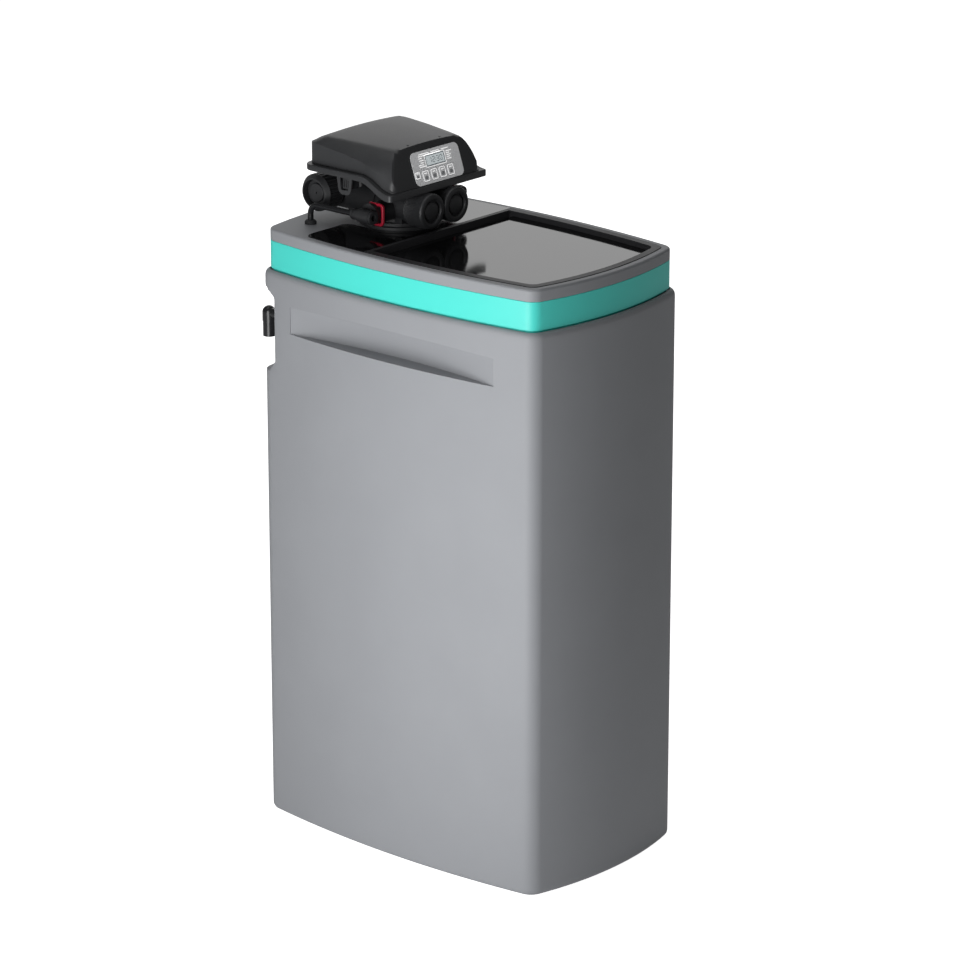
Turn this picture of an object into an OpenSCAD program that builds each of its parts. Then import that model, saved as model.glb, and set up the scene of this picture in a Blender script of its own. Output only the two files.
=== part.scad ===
// Cabinet water softener with a clip-on control valve, in millimetres, +Z up, front towards -Y.
// The origin is the middle of the footprint on the floor.

/* [Cabinet] */
// Width between the corners of the cabinet
body_w = 292; // [280:1:310]
// Depth between the corners of the cabinet
body_d = 475; // [465:1:495]
// How far each side bows out between its corners
side_bow = 19.1; // [16:0.1:24]
// How far the front bows out between its corners
front_bow = 22.7; // [16:0.1:30]
// How far the back bows out between its corners
back_bow = 15.9; // [14:0.1:24]
// Radius of the upright corners
corner_r = 24; // [18:0.5:26]
// Height of the cabinet's rim
body_h = 775; // [770:1:800]
// Wall of the cabinet
wall = 4; // [3:0.1:5]
// Floor of the cabinet
floor_t = 6; // [4:0.5:10]
// Rounding of the bottom edge
foot_r = 8; // [4:0.5:10]

/* [Hand grips and hose trough] */
// Length of each side grip
grip_w = 356; // [300:1:370]
// Distance of the grip's ledge below the cabinet's rim
grip_drop = 80.5; // [75:0.5:95]
// Height of the grip at its ends
grip_h = 37; // [30:0.5:42]
// Depth of the grip at the middle of its ledge
grip_depth = 27; // [16:0.5:30]
// Distance of the trough's lower edge below the cabinet's rim
trough_drop = 141.5; // [130:0.5:150]
// Height of the trough
trough_h = 123.5; // [115:0.5:126]
// Depth of the trough at the corners
trough_depth = 25.5; // [20:0.1:26]

/* [Top] */
// How far the trim band and top cover stand in from the cabinet
top_inset = 7; // [5:0.5:9]
// Corner radius of the trim band and top cover
top_r = 20; // [14:0.5:24]
// Height of the trim band
band_h = 37.4; // [30:0.1:45]
// Height of the top cover's side
lid_h = 16.2; // [14:0.1:22]
// Thickness of the deck
deck_t = 5; // [4.5:0.1:7]
// Wall of the trim band and of the top cover's skirt
top_wall = 3.5; // [3:0.1:4]

/* [Black panels and salt lid] */
// How far the black panels stand in from the cabinet
panel_inset = 18; // [15:0.5:21]
// Thickness of the black panels
panel_t = 2.6; // [2:0.1:3.5]
// How far the black panels stand above the deck
panel_proud = 0.6; // [0.2:0.1:1]
// Distance of the rear panel's rear edge from the cabinet's rear corners
panel_back = 72.5; // [66:0.1:80]
// Distance of the step behind the salt lid from the cabinet's rear corners
step_back = 191.5; // [185:0.1:200]
// Width of the frame around the salt lid
rim_w = 10.6; // [9.5:0.1:13]
// Depth of the salt lid below the frame
salt_drop = 7; // [5.5:0.1:9]
// Thickness of the salt lid
flap_t = 3; // [2.5:0.1:4]
// Radius of the salt lid's hinge barrel
hinge_r = 3.5; // [3.2:0.1:4]
// Radius of the salt lid's hinge pins
pin_r = 2; // [1.5:0.1:2.4]

/* [Valve] */
// Distance of the valve's upright axis from the cabinet's rear corners
valve_back = 116.5; // [113:0.1:121]
// Distance of each barrel from the middle
barrel_x = 24; // [24:0.1:26]
// Height of the barrels above the deck
barrel_z = 31.4; // [30:0.1:36]
// Radius of the barrels
barrel_r = 20; // [18.5:0.1:20]
// Radius of the barrels' end caps
cap_r = 23.8; // [23:0.1:23.8]
// Length of the end caps
cap_len = 32.5; // [28:0.5:34]
// Distance of the end caps' faces in front of the valve's axis
cap_face = 81; // [78:0.5:84]
// Distance of the ports behind the valve's axis
port_back = 85.6; // [82:0.1:88]
// Height of the ports above the deck
port_z = 38; // [36:0.5:42]
// Radius of the water way in each port
port_bore_r = 12.5; // [10:0.1:13]
// Radius of the union nuts
nut_r = 25.5; // [24:0.1:27]
// Length of the union nuts
nut_len = 34; // [30:0.5:36]
// Distance of the union nuts' faces from the middle
nut_face = 76; // [74:0.5:82]
// Radius of the deck collar
collar_r = 54; // [52:0.5:55]

/* [Brine and drain fittings] */
// Distance of the brine and drain elbows from the middle
fitting_x = 88; // [86:0.5:92]
// Distance of their spigots in front of the valve's axis
spigot_front = 17; // [14:0.5:20]
// Height of their spigots above the deck
spigot_z = 27.4; // [25:0.1:30]
// Outer radius of the brine tube
tube_r = 4; // [3:0.1:4.4]
// Outer radius of the drain hose spigot
drain_r = 6.5; // [5:0.1:7.5]
// Distance of the brine tube's grommet behind the valve's axis
grommet_back = 80; // [76:0.5:84]
// Thickness of the retaining clips' wire
clip_t = 3; // [2.5:0.1:3.4]

/* [Control cover] */
// Half width of the cover's rim
cover_hw = 96; // [92:0.5:100]
// Distance of the cover's rim in front of the valve's axis
cover_front = 71; // [69:0.5:74]
// Distance of the cover's rim behind the valve's axis
cover_rear = 88.5; // [86:0.5:91]
// Height of the rim's lower edge above the deck at the front
rim_front_z = 55.4; // [55:0.1:58]
// Height of the rim's lower edge above the deck at the sides and rear
rim_side_z = 77.4; // [76:0.1:80]
// Height of the rim
rim_h = 9.5; // [8:0.1:11]
// Height of the cover's top above the deck
cover_top = 121; // [120:0.1:124]
// Wall of the cover
cover_wall = 2.4; // [2:0.1:3]

/* [Control panel] */
// Width of the panel overlay
panel_w = 94; // [92:0.5:98]
// Height of the panel overlay
panel_h = 44.7; // [43.5:0.1:45.5]
// Width of a key
key_w = 12.4; // [10:0.1:13]
// Height of a key
key_h = 15; // [12:0.1:15.5]
// Distance between keys
key_pitch = 16.2; // [15.5:0.1:16.5]
// Travel of a key
key_travel = 0.5; // [0.3:0.05:0.8]

/* [Resin tank and brine well] */
// Radius of the resin tank
tank_r = 86; // [80:0.5:86]
// Wall of the resin tank
tank_wall = 4; // [3:0.1:5]
// Outer radius of the tank's neck
neck_r = 40; // [38:0.5:44]
// Radius of the neck's thread
thread_r = 31.5; // [30:0.1:32]
// Outer radius of the brine well
well_r = 24; // [20:0.1:24]
// Distance of the brine well's top below the hose trough
well_clear = 23.5; // [20:0.5:60]
// Travel of the brine float
float_travel = 25; // [15:1:30]

/* [Hidden] */

grey = "#8d8f93";
teal = "#4fdccd";
black = "#242526";
crimson = "#b02a3c";
steel = "#b9bcc0";
white = "#e8e8e4";

$fn = 64;
run_fit = 0.05;
slip = 0.3;
eps = 0.02;

// Plan of the cabinet: four bowed sides that pass through the corners
function arc_r(chord, bow) = (chord * chord / 4 + bow * bow) / (2 * bow);
side_r = arc_r(body_d, side_bow);
front_r = arc_r(body_w, front_bow);
back_r = arc_r(body_w, back_bow);
plan_y = (front_bow - back_bow) / 2;
back_y = body_d / 2 + plan_y;
valve_y = back_y - valve_back;
panel_rear = back_y - panel_back;
step_y = back_y - step_back;

// Heights up the cabinet
rim_t = 8;
rim_r = 4;
rim_in = top_inset + top_wall + 3.5;
lid_z = body_h + band_h;
deck_z = lid_z + lid_h;
panel_z = deck_z + panel_proud;
flap_z = panel_z - salt_drop;
lip_h = 6;
lip_t = 2.5;
grip_z = body_h - grip_drop;
trough_z = body_h - trough_drop;

// Half width of the cabinet at a distance y from the middle of its side
function side_x(y) = body_w / 2 + sqrt(side_r * side_r - y * y) - side_r + side_bow;

// Outline of the plan: front, corner, side, corner and back arcs of one half, then the mirrored half
side_c = [body_w / 2 + side_bow - side_r, 0];
front_c = [0, front_r - front_bow - body_d / 2];
back_c = [0, body_d / 2 + back_bow - back_r];
end_steps = 7;
side_steps = 16;
corner_steps = 8;
function polar(r, a) = [r * cos(a), r * sin(a)];
function heading(p, c) = atan2(p[1] - c[1], p[0] - c[0]);
function arc(c, r, a0, a1, n) = [for (i = [0 : n - 1]) c + polar(r, a0 + (a1 - a0) * i / n)];
function corner_c(p, rp, q, rq, s) =
  let (v = q - p, d = norm(v), u = v / d, a = (rp * rp - rq * rq + d * d) / (2 * d), h = sqrt(rp * rp - a * a))
  p + a * u + s * h * [u[1], -u[0]];
function outline(inset, r) =
  let (t = inset + r,
    c1 = corner_c(side_c, side_r - t, front_c, front_r - t, 1),
    c2 = corner_c(side_c, side_r - t, back_c, back_r - t, -1),
    a1 = heading(c1, front_c), b1 = heading(c1, side_c), b2 = heading(c2, side_c), a2 = heading(c2, back_c),
    half = concat(arc(front_c, front_r - inset, -90, a1, end_steps), arc(c1, r, a1, b1, corner_steps),
      arc(side_c, side_r - inset, b1, b2, side_steps), arc(c2, r, b2, a2, corner_steps),
      arc(back_c, back_r - inset, a2, 90, end_steps), [back_c + [0, back_r - inset]]))
  concat(half, [for (i = [len(half) - 2 : -1 : 1]) [-half[i][0], half[i][1]]]);

module plan(inset, r) {
  translate([0, plan_y]) polygon(outline(inset, r));
}

// A closed moulding on the cabinet's plan, with its lower and upper edges rounded
module moulding(inset, r, z0, z1, r_low, r_high) {
  low = [for (a = r_low > 0 ? [0, 30, 60, 90] : [0]) [r_low * (1 - sin(a)), z0 + r_low * (1 - cos(a))]];
  high = [for (a = r_high > 0 ? [90, 60, 30, 0] : [0]) [r_high * (1 - sin(a)), z1 - r_high * (1 - cos(a))]];
  layers = concat(low, high);
  rings = [for (l = layers) outline(inset + l[0], r - l[0])];
  n = len(rings[0]);
  top = (len(layers) - 1) * n;
  points = [for (k = [0 : len(layers) - 1]) for (q = rings[k]) [q[0], q[1] + plan_y, layers[k][1]]];
  sides = [for (k = [0 : len(layers) - 2]) for (i = [0 : n - 1])
    let (p = k * n + i, q = k * n + (i + 1) % n)
    each [[p, p + n, q + n], [p, q + n, q]]];
  polyhedron(points, concat([[for (i = [0 : n - 1]) i]], sides, [[for (i = [n - 1 : -1 : 0]) top + i]]));
}

module plan_slab(inset, r, z0, z1) {
  translate([0, 0, z0]) linear_extrude(z1 - z0) plan(inset, r);
}

// The part of the plan in front of, or behind, a line across it
module plan_cut(y0, y1) {
  translate([-body_w, y0]) square([2 * body_w, y1 - y0]);
}

// Hand grip: a wall that leans in towards a lens-shaped ledge and dies out at both ends
grip_rise = 6;
grip_end = 1;
grip_steps = 16;
module grip_cut(grow) {
  span = grip_w + 2 * grow;
  out = 12;
  points = [for (i = [0 : grip_steps])
    let (y = span * (i / grip_steps - 0.5), u = 1 - pow(2 * y / span, 2), x = side_x(y))
    each [
      [x - grip_end - grow - (grip_depth - grip_end) * u, y, grip_z - grow],
      [x + out, y, grip_z - grow],
      [x + out, y, grip_z + grip_h + grip_rise * u + grow],
      [x - grip_end - grow, y, grip_z + grip_h + grip_rise * u + grow]]];
  sides = [for (i = [0 : grip_steps - 1]) for (j = [0 : 3])
    let (p = 4 * i + j, q = 4 * i + (j + 1) % 4)
    each [[p, q, q + 4], [p, q + 4, p + 4]]];
  last = 4 * grip_steps;
  ends = [[3, 2, 1, 0], [last, last + 1, last + 2, last + 3]];
  translate([0, plan_y, 0]) polyhedron(points, concat(sides, ends));
}

// Trough across the back: a chamfer below, a cove above
trough_chamfer = 15;
trough_cove = 22;
cove_steps = 8;
module trough_cut(grow) {
  cove = [for (i = [0 : cove_steps])
    let (t = i / cove_steps)
    [-trough_depth * (1 + cos(180 * t)) / 2, trough_z + trough_h - trough_cove * (1 - t)]];
  reach = 60;
  translate([-body_w, back_y, 0])
    rotate([90, 0, 90])
      linear_extrude(2 * body_w)
        offset(delta = grow)
          polygon(concat([[reach, trough_z], [0, trough_z], [-trough_depth, trough_z + trough_chamfer]], cove,
            [[reach, trough_z + trough_h]]));
}

// Overflow outlet in the trough, near the left corner
overflow_x = -128;
overflow_rise = 74.1;
overflow_z = trough_z + overflow_rise;
overflow_r = 8.5;
stub_r = 6.5;
grommet_t = 2;
grommet_lip = 2;
overflow_seat = back_y - trough_depth;

module cabinet_body() {
  color(grey)
    difference() {
      moulding(0, corner_r, 0, body_h, foot_r, rim_r);
      difference() {
        plan_slab(wall, corner_r - wall, floor_t, body_h - rim_t);
        trough_cut(wall);
        for (m = [0, 1]) mirror([m, 0, 0]) grip_cut(wall);
      }
      plan_slab(rim_in, corner_r - wall, body_h - rim_t - 1, body_h + 1);
      trough_cut(0);
      for (m = [0, 1]) mirror([m, 0, 0]) grip_cut(0);
      translate([overflow_x, overflow_seat + 1, overflow_z])
        rotate([90, 0, 0]) cylinder(r = stub_r + grommet_t + run_fit, h = wall + 2);
    }
}

module trim_band() {
  color(teal)
    difference() {
      union() {
        plan_slab(top_inset, top_r, body_h, lid_z);
        plan_slab(rim_in + slip, top_r, body_h - lip_h, body_h + eps);
      }
      plan_slab(top_inset + top_wall, top_r - top_wall, body_h + lip_t, lid_z + 1);
      plan_slab(rim_in + slip + lip_t, top_r - top_wall, body_h - lip_h - 1, lid_z);
    }
}

// Openings of the deck
frame_t = 3;
rail_w = 3;
frame_in = panel_inset + rim_w;
frame_slip = 0.4;
salt_back = step_y + frame_t;
collar_hole = collar_r - 6;
well_x = -92;
well_back = 74;
well_y = valve_y + well_back;
grommet_r = 8;
grommet_hole = 6;
panel_corner = 14;
notch_r = collar_r + 1.7;

module salt_plan(inset, back) {
  intersection() {
    plan(inset, panel_corner);
    plan_cut(-body_d, back);
  }
}

module panel_plan(grow) {
  difference() {
    offset(r = panel_corner + grow)
      offset(delta = -panel_corner)
        difference() {
          intersection() {
            plan(panel_inset, panel_corner);
            plan_cut(-body_d, panel_rear);
          }
          translate([-notch_r, valve_y]) square([2 * notch_r, body_d]);
        }
    translate([0, valve_y]) circle(notch_r - grow);
  }
}

module top_cover() {
  edge_r = 3;
  seat_z = panel_z - panel_t;
  skirt_in = top_inset + top_wall;
  color(grey)
    difference() {
      union() {
        moulding(top_inset, top_r, lid_z, deck_z, 0, edge_r);
        plan_slab(skirt_in + slip, top_r - top_wall, lid_z - lip_h, lid_z + 1);
      }
      plan_slab(skirt_in + slip + lip_t, top_r - top_wall, lid_z - lip_h - 1, deck_z - deck_t);
      translate([0, 0, seat_z]) linear_extrude(panel_t) panel_plan(frame_slip);
      translate([0, 0, lid_z]) linear_extrude(2 * lid_h) salt_plan(frame_in - frame_t - frame_slip, salt_back + frame_slip);
      translate([0, valve_y, lid_z]) cylinder(r = collar_hole, h = 2 * lid_h);
      translate([-fitting_x, valve_y + grommet_back, lid_z]) cylinder(r = grommet_hole, h = 2 * lid_h);
    }
}

module rear_panel() {
  color(black)
    translate([0, 0, panel_z - panel_t])
      linear_extrude(panel_t)
        intersection() {
          panel_plan(0);
          plan_cut(salt_back + rail_w + slip, body_d);
        }
}

// Salt frame: a dished rim with a ledge that carries the lid at its sides and front
ledge_w = 8;
ledge_t = 2.5;
frame_low = flap_z - flap_t - ledge_t;
hinge_gap = 0.5;
hinge_z = flap_z - flap_t - hinge_r;
hinge_y = step_y - flap_t - hinge_r - hinge_gap;
hinge_half = side_x(hinge_y - plan_y) - frame_in - ledge_w;
ear_r = 4;

module across_x(y, z, x0, x1, r) {
  translate([x0, y, z]) rotate([0, 90, 0]) cylinder(r = r, h = x1 - x0);
}

module along_y(x, z, y0, y1, r) {
  translate([x, y1, z]) rotate([90, 0, 0]) cylinder(r = r, h = y1 - y0);
}

module both_sides() {
  children();
  mirror([1, 0, 0]) children();
}

module salt_frame() {
  color(black)
    difference() {
      union() {
        translate([0, 0, panel_z - panel_t])
          linear_extrude(panel_t)
            intersection() {
              panel_plan(0);
              plan_cut(-body_d, salt_back + rail_w);
            }
        difference() {
          translate([0, 0, frame_low])
            linear_extrude(panel_z - frame_low - panel_t / 2)
              salt_plan(frame_in - frame_t, salt_back);
          translate([0, 0, frame_low - 1])
            linear_extrude(salt_drop + flap_t + ledge_t + 2)
              salt_plan(frame_in + ledge_w, step_y);
        }
        both_sides()
          translate([hinge_half, hinge_y - ear_r, hinge_z - ear_r])
            cube([ledge_w + frame_t / 2, step_y - hinge_y + ear_r + frame_t / 2, ear_r + hinge_r - slip]);
      }
      translate([0, 0, flap_z - flap_t])
        linear_extrude(2 * salt_drop)
          salt_plan(frame_in, step_y);
      across_x(hinge_y, hinge_z, -body_w, body_w, pin_r + run_fit);
      hinge_relief();
    }
}

// Room that the lid's rear edge sweeps around the hinge as it opens
relief_low = 0.9;
module hinge_relief() {
  reach = hinge_half + ledge_w;
  difference() {
    across_x(hinge_y, hinge_z, -reach, reach, hinge_r + flap_t + slip);
    across_x(hinge_y, hinge_z, -body_w, body_w, hinge_r - slip);
    translate([-body_w, hinge_y - 2 * ledge_w, hinge_z - 4 * hinge_r])
      cube([2 * body_w, 4 * ledge_w, 4 * hinge_r + relief_low]);
  }
}

// Salt lid: a flat gloss panel with a hinge barrel under its rear edge and a finger lip at the front
lip_w = 70;
lip_rise = 4;
pin_seat = 10;
module salt_lid() {
  front_y = plan_y - body_d / 2 - front_bow + frame_in + frame_slip;
  color(black)
    difference() {
      union() {
        translate([0, 0, flap_z - flap_t])
          linear_extrude(flap_t)
            salt_plan(frame_in + frame_slip, hinge_y);
        across_x(hinge_y, hinge_z, slip - hinge_half, hinge_half - slip, hinge_r);
        translate([slip - hinge_half, hinge_y - hinge_r, hinge_z])
          cube([2 * (hinge_half - slip), hinge_r, hinge_r + eps]);
        translate([-lip_w / 2, front_y + 4, flap_z - eps])
          cube([lip_w, 3, lip_rise]);
      }
      both_sides()
        across_x(hinge_y, hinge_z, hinge_half - slip - pin_seat, hinge_half, pin_r);
    }
}

module hinge_pins() {
  color(steel)
    both_sides()
      across_x(hinge_y, hinge_z, hinge_half - slip - pin_seat, hinge_half + ledge_w, pin_r);
}

// Salt platform near the floor, cut out for the tank and the brine well
grid_h = 50;
grid_z = floor_t + grid_h;
grid_t = 4;
grid_pitch = 30;
grid_hole = 5;
leg_r = 10;
leg_in = 36;
leg_front = 190;
module salt_grid() {
  color(white)
    difference() {
      union() {
        plan_slab(wall + 1, corner_r - wall, grid_z, grid_z + grid_t);
        for (x = [leg_in - body_w / 2, body_w / 2 - leg_in], y = [-leg_front, 0])
          translate([x, y, floor_t]) cylinder(r = leg_r, h = grid_h + 1);
      }
      translate([0, valve_y, floor_t - 1]) cylinder(r = tank_r + 1, h = grid_z);
      translate([well_x, well_y, floor_t - 1]) cylinder(r = well_r + slip, h = grid_z);
      for (i = [-3 : 3], j = [-7 : -1])
        translate([i * grid_pitch, j * grid_pitch, grid_z - 1]) cylinder(r = grid_hole, h = grid_t + 2);
    }
}

// Brine well, its cap, and the safety valve with its float on a guide pipe
well_t = 2;
well_top = trough_z - wall - well_clear;
well_h = well_top - floor_t;
cap_t = 3;
pipe_r = 5;
float_r = 17;
float_h = 70;
float_z = 250;
stop_h = 8;
stop_r = 9;
check_r = 14;
check_h = 36;
valve_head_r = 17;
valve_head_h = 40;
head_rise = 60;
head_z = float_z + float_h + float_travel + head_rise;

module at_well() {
  translate([well_x, well_y, 0]) children();
}

module brine_well() {
  color(white)
    at_well()
      difference() {
        translate([0, 0, floor_t]) cylinder(r = well_r, h = well_h);
        translate([0, 0, floor_t - 1]) cylinder(r = well_r - well_t, h = well_h + 2);
        for (a = [0, 90])
          rotate(a) translate([-well_r - 1, -3, floor_t + 8]) cube([2 * well_r + 2, 6, 30]);
      }
}

module well_cap() {
  color(black)
    difference() {
      at_well()
        union() {
          translate([0, 0, well_top]) cylinder(r = well_r + 2, h = cap_t);
          translate([0, 0, well_top - 8]) cylinder(r = well_r - well_t - run_fit, h = 9);
        }
      at_well() translate([0, 0, well_top - 9]) cylinder(r = well_r - 2 * well_t, h = 9);
      brine_drop(well_top - 9, well_top + cap_t + 1, tube_r + slip);
    }
}

// The upright run of the brine tube
module brine_drop(z0, z1, r) {
  translate([-fitting_x, valve_y + grommet_back, z0]) cylinder(r = r, h = z1 - z0);
}

module safety_valve() {
  color(black)
    difference() {
      union() {
        at_well() {
          translate([0, 0, floor_t]) cylinder(r = check_r, h = check_h);
          translate([0, 0, floor_t]) cylinder(r = pipe_r, h = head_z - floor_t + 1);
          translate([0, 0, float_z - stop_h]) cylinder(r = stop_r, h = stop_h);
          translate([0, 0, float_z + float_h + float_travel + slip]) cylinder(r = stop_r, h = stop_h);
          translate([0, 0, head_z]) cylinder(r = valve_head_r, h = valve_head_h);
        }
      }
      brine_drop(head_z + valve_head_h / 2, head_z + valve_head_h + 1, tube_r + run_fit);
      at_well()
        for (a = [0 : 45 : 135])
          rotate(a) translate([-check_r - 1, -1, floor_t + 6]) cube([2 * check_r + 2, 2, check_h - 14]);
    }
}

module brine_float() {
  color(white)
    at_well()
      translate([0, 0, float_z + slip / 2])
        difference() {
          cylinder(r = float_r, h = float_h - slip / 2);
          translate([0, 0, -1]) cylinder(r = pipe_r + slip, h = float_h + 2);
        }
}

// Everything on the valve is placed from the valve's axis at the deck
riser_r = 13.25;
base_r = 46;
base_drop = 22;
spigot_h = 36;
base_h = 14;
riser_top = deck_z - base_drop - 8;
chamber_r = base_r - 6;
chamber_low = -14;
chamber_h = 12;
shaft_r = 3;
tower_h = 66;
barrel_rear = 58;
bore_r = barrel_r - 5;
bore_end = 12;
bridge_x = 12;
boss_r = 14.5;
boss_end = fitting_x - 12;
clip_x = fitting_x - 18;
mouth_r = 12.6;
spigot_r = 8;
spigot_end = 50;
clip_arm = 13.4;
arm_r = 17;
arm_end = nut_face - 10;
plate_z = 70;
plate_t = 4;
bridge_front = 38;
post_x = 32;
post_front = -30;
post_rear = 40;
screw_r = 2;
screw_len = 12;
screw_head = 2.6;

// Brine tube: up through the deck, over a bend, and forward into the brine elbow
bend_r = 14;
tube_bore = tube_r - 1.2;
elbow_rear = 3;
tube_seat = 8;
module tube_path(r, over) {
  run_z = deck_z + spigot_z;
  drop_y = valve_y + grommet_back;
  brine_drop(head_z + valve_head_h / 2 - over, run_z - bend_r, r);
  translate([-fitting_x, drop_y - bend_r, run_z - bend_r])
    rotate([90, 0, 90])
      rotate_extrude(angle = 90) translate([bend_r, 0]) circle(r);
  along_y(-fitting_x, run_z, valve_y + elbow_rear - tube_seat - over, drop_y - bend_r, r);
}

module brine_tube() {
  color(black)
    difference() {
      tube_path(tube_r, 0);
      tube_path(tube_bore, 1);
    }
}

module tube_grommet() {
  color(black)
    translate([-fitting_x, valve_y + grommet_back, 0])
      difference() {
        union() {
          translate([0, 0, deck_z]) cylinder(r = grommet_r, h = 3);
          translate([0, 0, deck_z + 3]) cylinder(r1 = grommet_r, r2 = grommet_r - 2, h = 2.5);
          translate([0, 0, deck_z - deck_t]) cylinder(r = grommet_hole - run_fit, h = deck_t + 1);
          translate([0, 0, deck_z - deck_t - 3]) cylinder(r = grommet_r - 0.5, h = 3);
        }
        translate([0, 0, deck_z - deck_t - 4]) cylinder(r = tube_r + run_fit, h = deck_t + 11);
      }
}

// Overflow elbow in its grommet at the back, pointing down
overflow_drop = 32.6;
overflow_neck = 12;
overflow_body = overflow_r + 0.6;
overflow_bore = 6.5;
stub_bore = 4.8;
overflow_reach = back_y + 4.2 - overflow_seat;
module overflow_elbow() {
  color(black)
    translate([overflow_x, overflow_seat, overflow_z])
      difference() {
        union() {
          along_y(0, 0, -wall - 6, overflow_reach, stub_r);
          translate([0, overflow_reach, -overflow_drop]) cylinder(r = overflow_r, h = overflow_drop);
          translate([0, overflow_reach, -overflow_neck]) cylinder(r = overflow_body, h = overflow_neck);
          translate([0, overflow_reach, 0]) sphere(overflow_body);
          along_y(0, 0, grommet_lip, grommet_lip + 2, stub_r + 3);
        }
        along_y(0, 0, -wall - 7, overflow_reach, stub_bore);
        translate([0, overflow_reach, -overflow_drop - 1]) cylinder(r = overflow_bore, h = overflow_drop + 1);
      }
}

module overflow_grommet() {
  color("#303234")
    translate([overflow_x, overflow_seat, overflow_z])
      difference() {
        union() {
          along_y(0, 0, 0, grommet_lip, stub_r + grommet_t + 2);
          along_y(0, 0, -wall, eps, stub_r + grommet_t);
        }
        along_y(0, 0, -wall - 1, grommet_lip + 1, stub_r + run_fit);
      }
}

// Resin tank: a domed vessel on a boot, with the valve screwed into its neck
tank_z = floor_t + 10;
neck_z = deck_z - base_drop;
neck_h = 16;
dome_h = 52;
dome_steps = 8;
boot_h = 46;
function dome(r, z, h, turn) = [for (i = [0 : dome_steps])
  let (a = 90 * i / dome_steps)
  turn ? [r * cos(a), z + h * sin(a)] : [r * sin(a), z - h * cos(a)]];

module tank_solid(t) {
  r = tank_r - t;
  low = tank_z + dome_h;
  high = neck_z - neck_h - dome_h;
  rotate_extrude()
    polygon(concat(dome(r, low, dome_h - t, false), dome(r, high, dome_h - t, true)));
}

module at_axis() {
  translate([0, valve_y, 0]) children();
}

module resin_tank() {
  color("#3f6ea5")
    at_axis()
      difference() {
        union() {
          tank_solid(0);
          translate([0, 0, neck_z - neck_h - dome_h / 2]) cylinder(r = neck_r, h = neck_h + dome_h / 2);
        }
        tank_solid(tank_wall);
        translate([0, 0, neck_z - neck_h - dome_h]) cylinder(r = thread_r, h = neck_h + dome_h + 1);
      }
}

module tank_boot() {
  color(black)
    at_axis()
      difference() {
        translate([0, 0, floor_t]) cylinder(r = tank_r, h = boot_h);
        translate([0, 0, floor_t - 1]) cylinder(r = tank_r - 22, h = boot_h + 2);
        tank_solid(-run_fit);
      }
}

strainer_r = 22;
strainer_h = 50;
strainer_z = tank_z + tank_wall + 3;
bed_share = 0.58;
bed_h = bed_share * (neck_z - tank_z);
module resin_bed() {
  bed_z = tank_z + dome_h + 6;
  color("#b8863a")
    at_axis()
      difference() {
        translate([0, 0, bed_z]) cylinder(r = tank_r - tank_wall - slip, h = bed_h);
        translate([0, 0, bed_z - 1]) cylinder(r = riser_r + slip, h = bed_h + 2);
      }
}

module riser_tube() {
  color(white)
    at_axis()
      difference() {
        translate([0, 0, strainer_z + strainer_h]) cylinder(r = riser_r, h = riser_top - strainer_z - strainer_h);
        translate([0, 0, strainer_z + strainer_h - 1]) cylinder(r = riser_r - 2.5, h = riser_top);
      }
}

module strainer_slots(r, z, h, count) {
  for (a = [0 : 360 / count : 180 - 1])
    rotate(a) translate([-r - 1, -0.6, z]) cube([2 * r + 2, 1.2, h]);
}

module bottom_strainer() {
  color(white)
    at_axis()
      difference() {
        translate([0, 0, strainer_z]) cylinder(r = strainer_r, h = strainer_h);
        translate([0, 0, strainer_z + 4]) cylinder(r = strainer_r - 3, h = strainer_h - 8);
        translate([0, 0, strainer_z + strainer_h - 5]) cylinder(r = riser_r - 2.5, h = 6);
        strainer_slots(strainer_r, strainer_z + 8, strainer_h - 16, 12);
      }
}

module top_strainer() {
  high = neck_z - spigot_h;
  h = 34;
  r = thread_r - 4;
  color(white)
    at_axis()
      difference() {
        translate([0, 0, high - h]) cylinder(r = r, h = h);
        translate([0, 0, high - h + 3]) cylinder(r = r - 3, h = h);
        translate([0, 0, high - h - 1]) cylinder(r = riser_r + run_fit, h = h);
        strainer_slots(r, high - h + 6, h - 10, 12);
      }
}

ring_r = 1.6;
ring_path = thread_r + 4;
module neck_o_ring() {
  color(black)
    at_axis()
      translate([0, 0, neck_z + ring_r])
        rotate_extrude() translate([ring_path, 0]) circle(ring_r, $fn = 24);
}

module at_valve() {
  translate([0, valve_y, deck_z]) children();
}

module deck_collar() {
  foot = 5;
  color(black)
    at_valve()
      rotate_extrude()
        polygon([[base_r + slip, 0], [collar_r, 0], [collar_r, foot - 1], [collar_r - 1, foot], [collar_r - 4, foot],
          [collar_r - 4, 2 * foot - 1], [collar_r - 5, 2 * foot], [base_r + slip, 2 * foot]]);
}

module posts() {
  for (x = [-post_x, post_x], y = [post_front, post_rear])
    translate([x, y, 0]) children();
}

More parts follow.
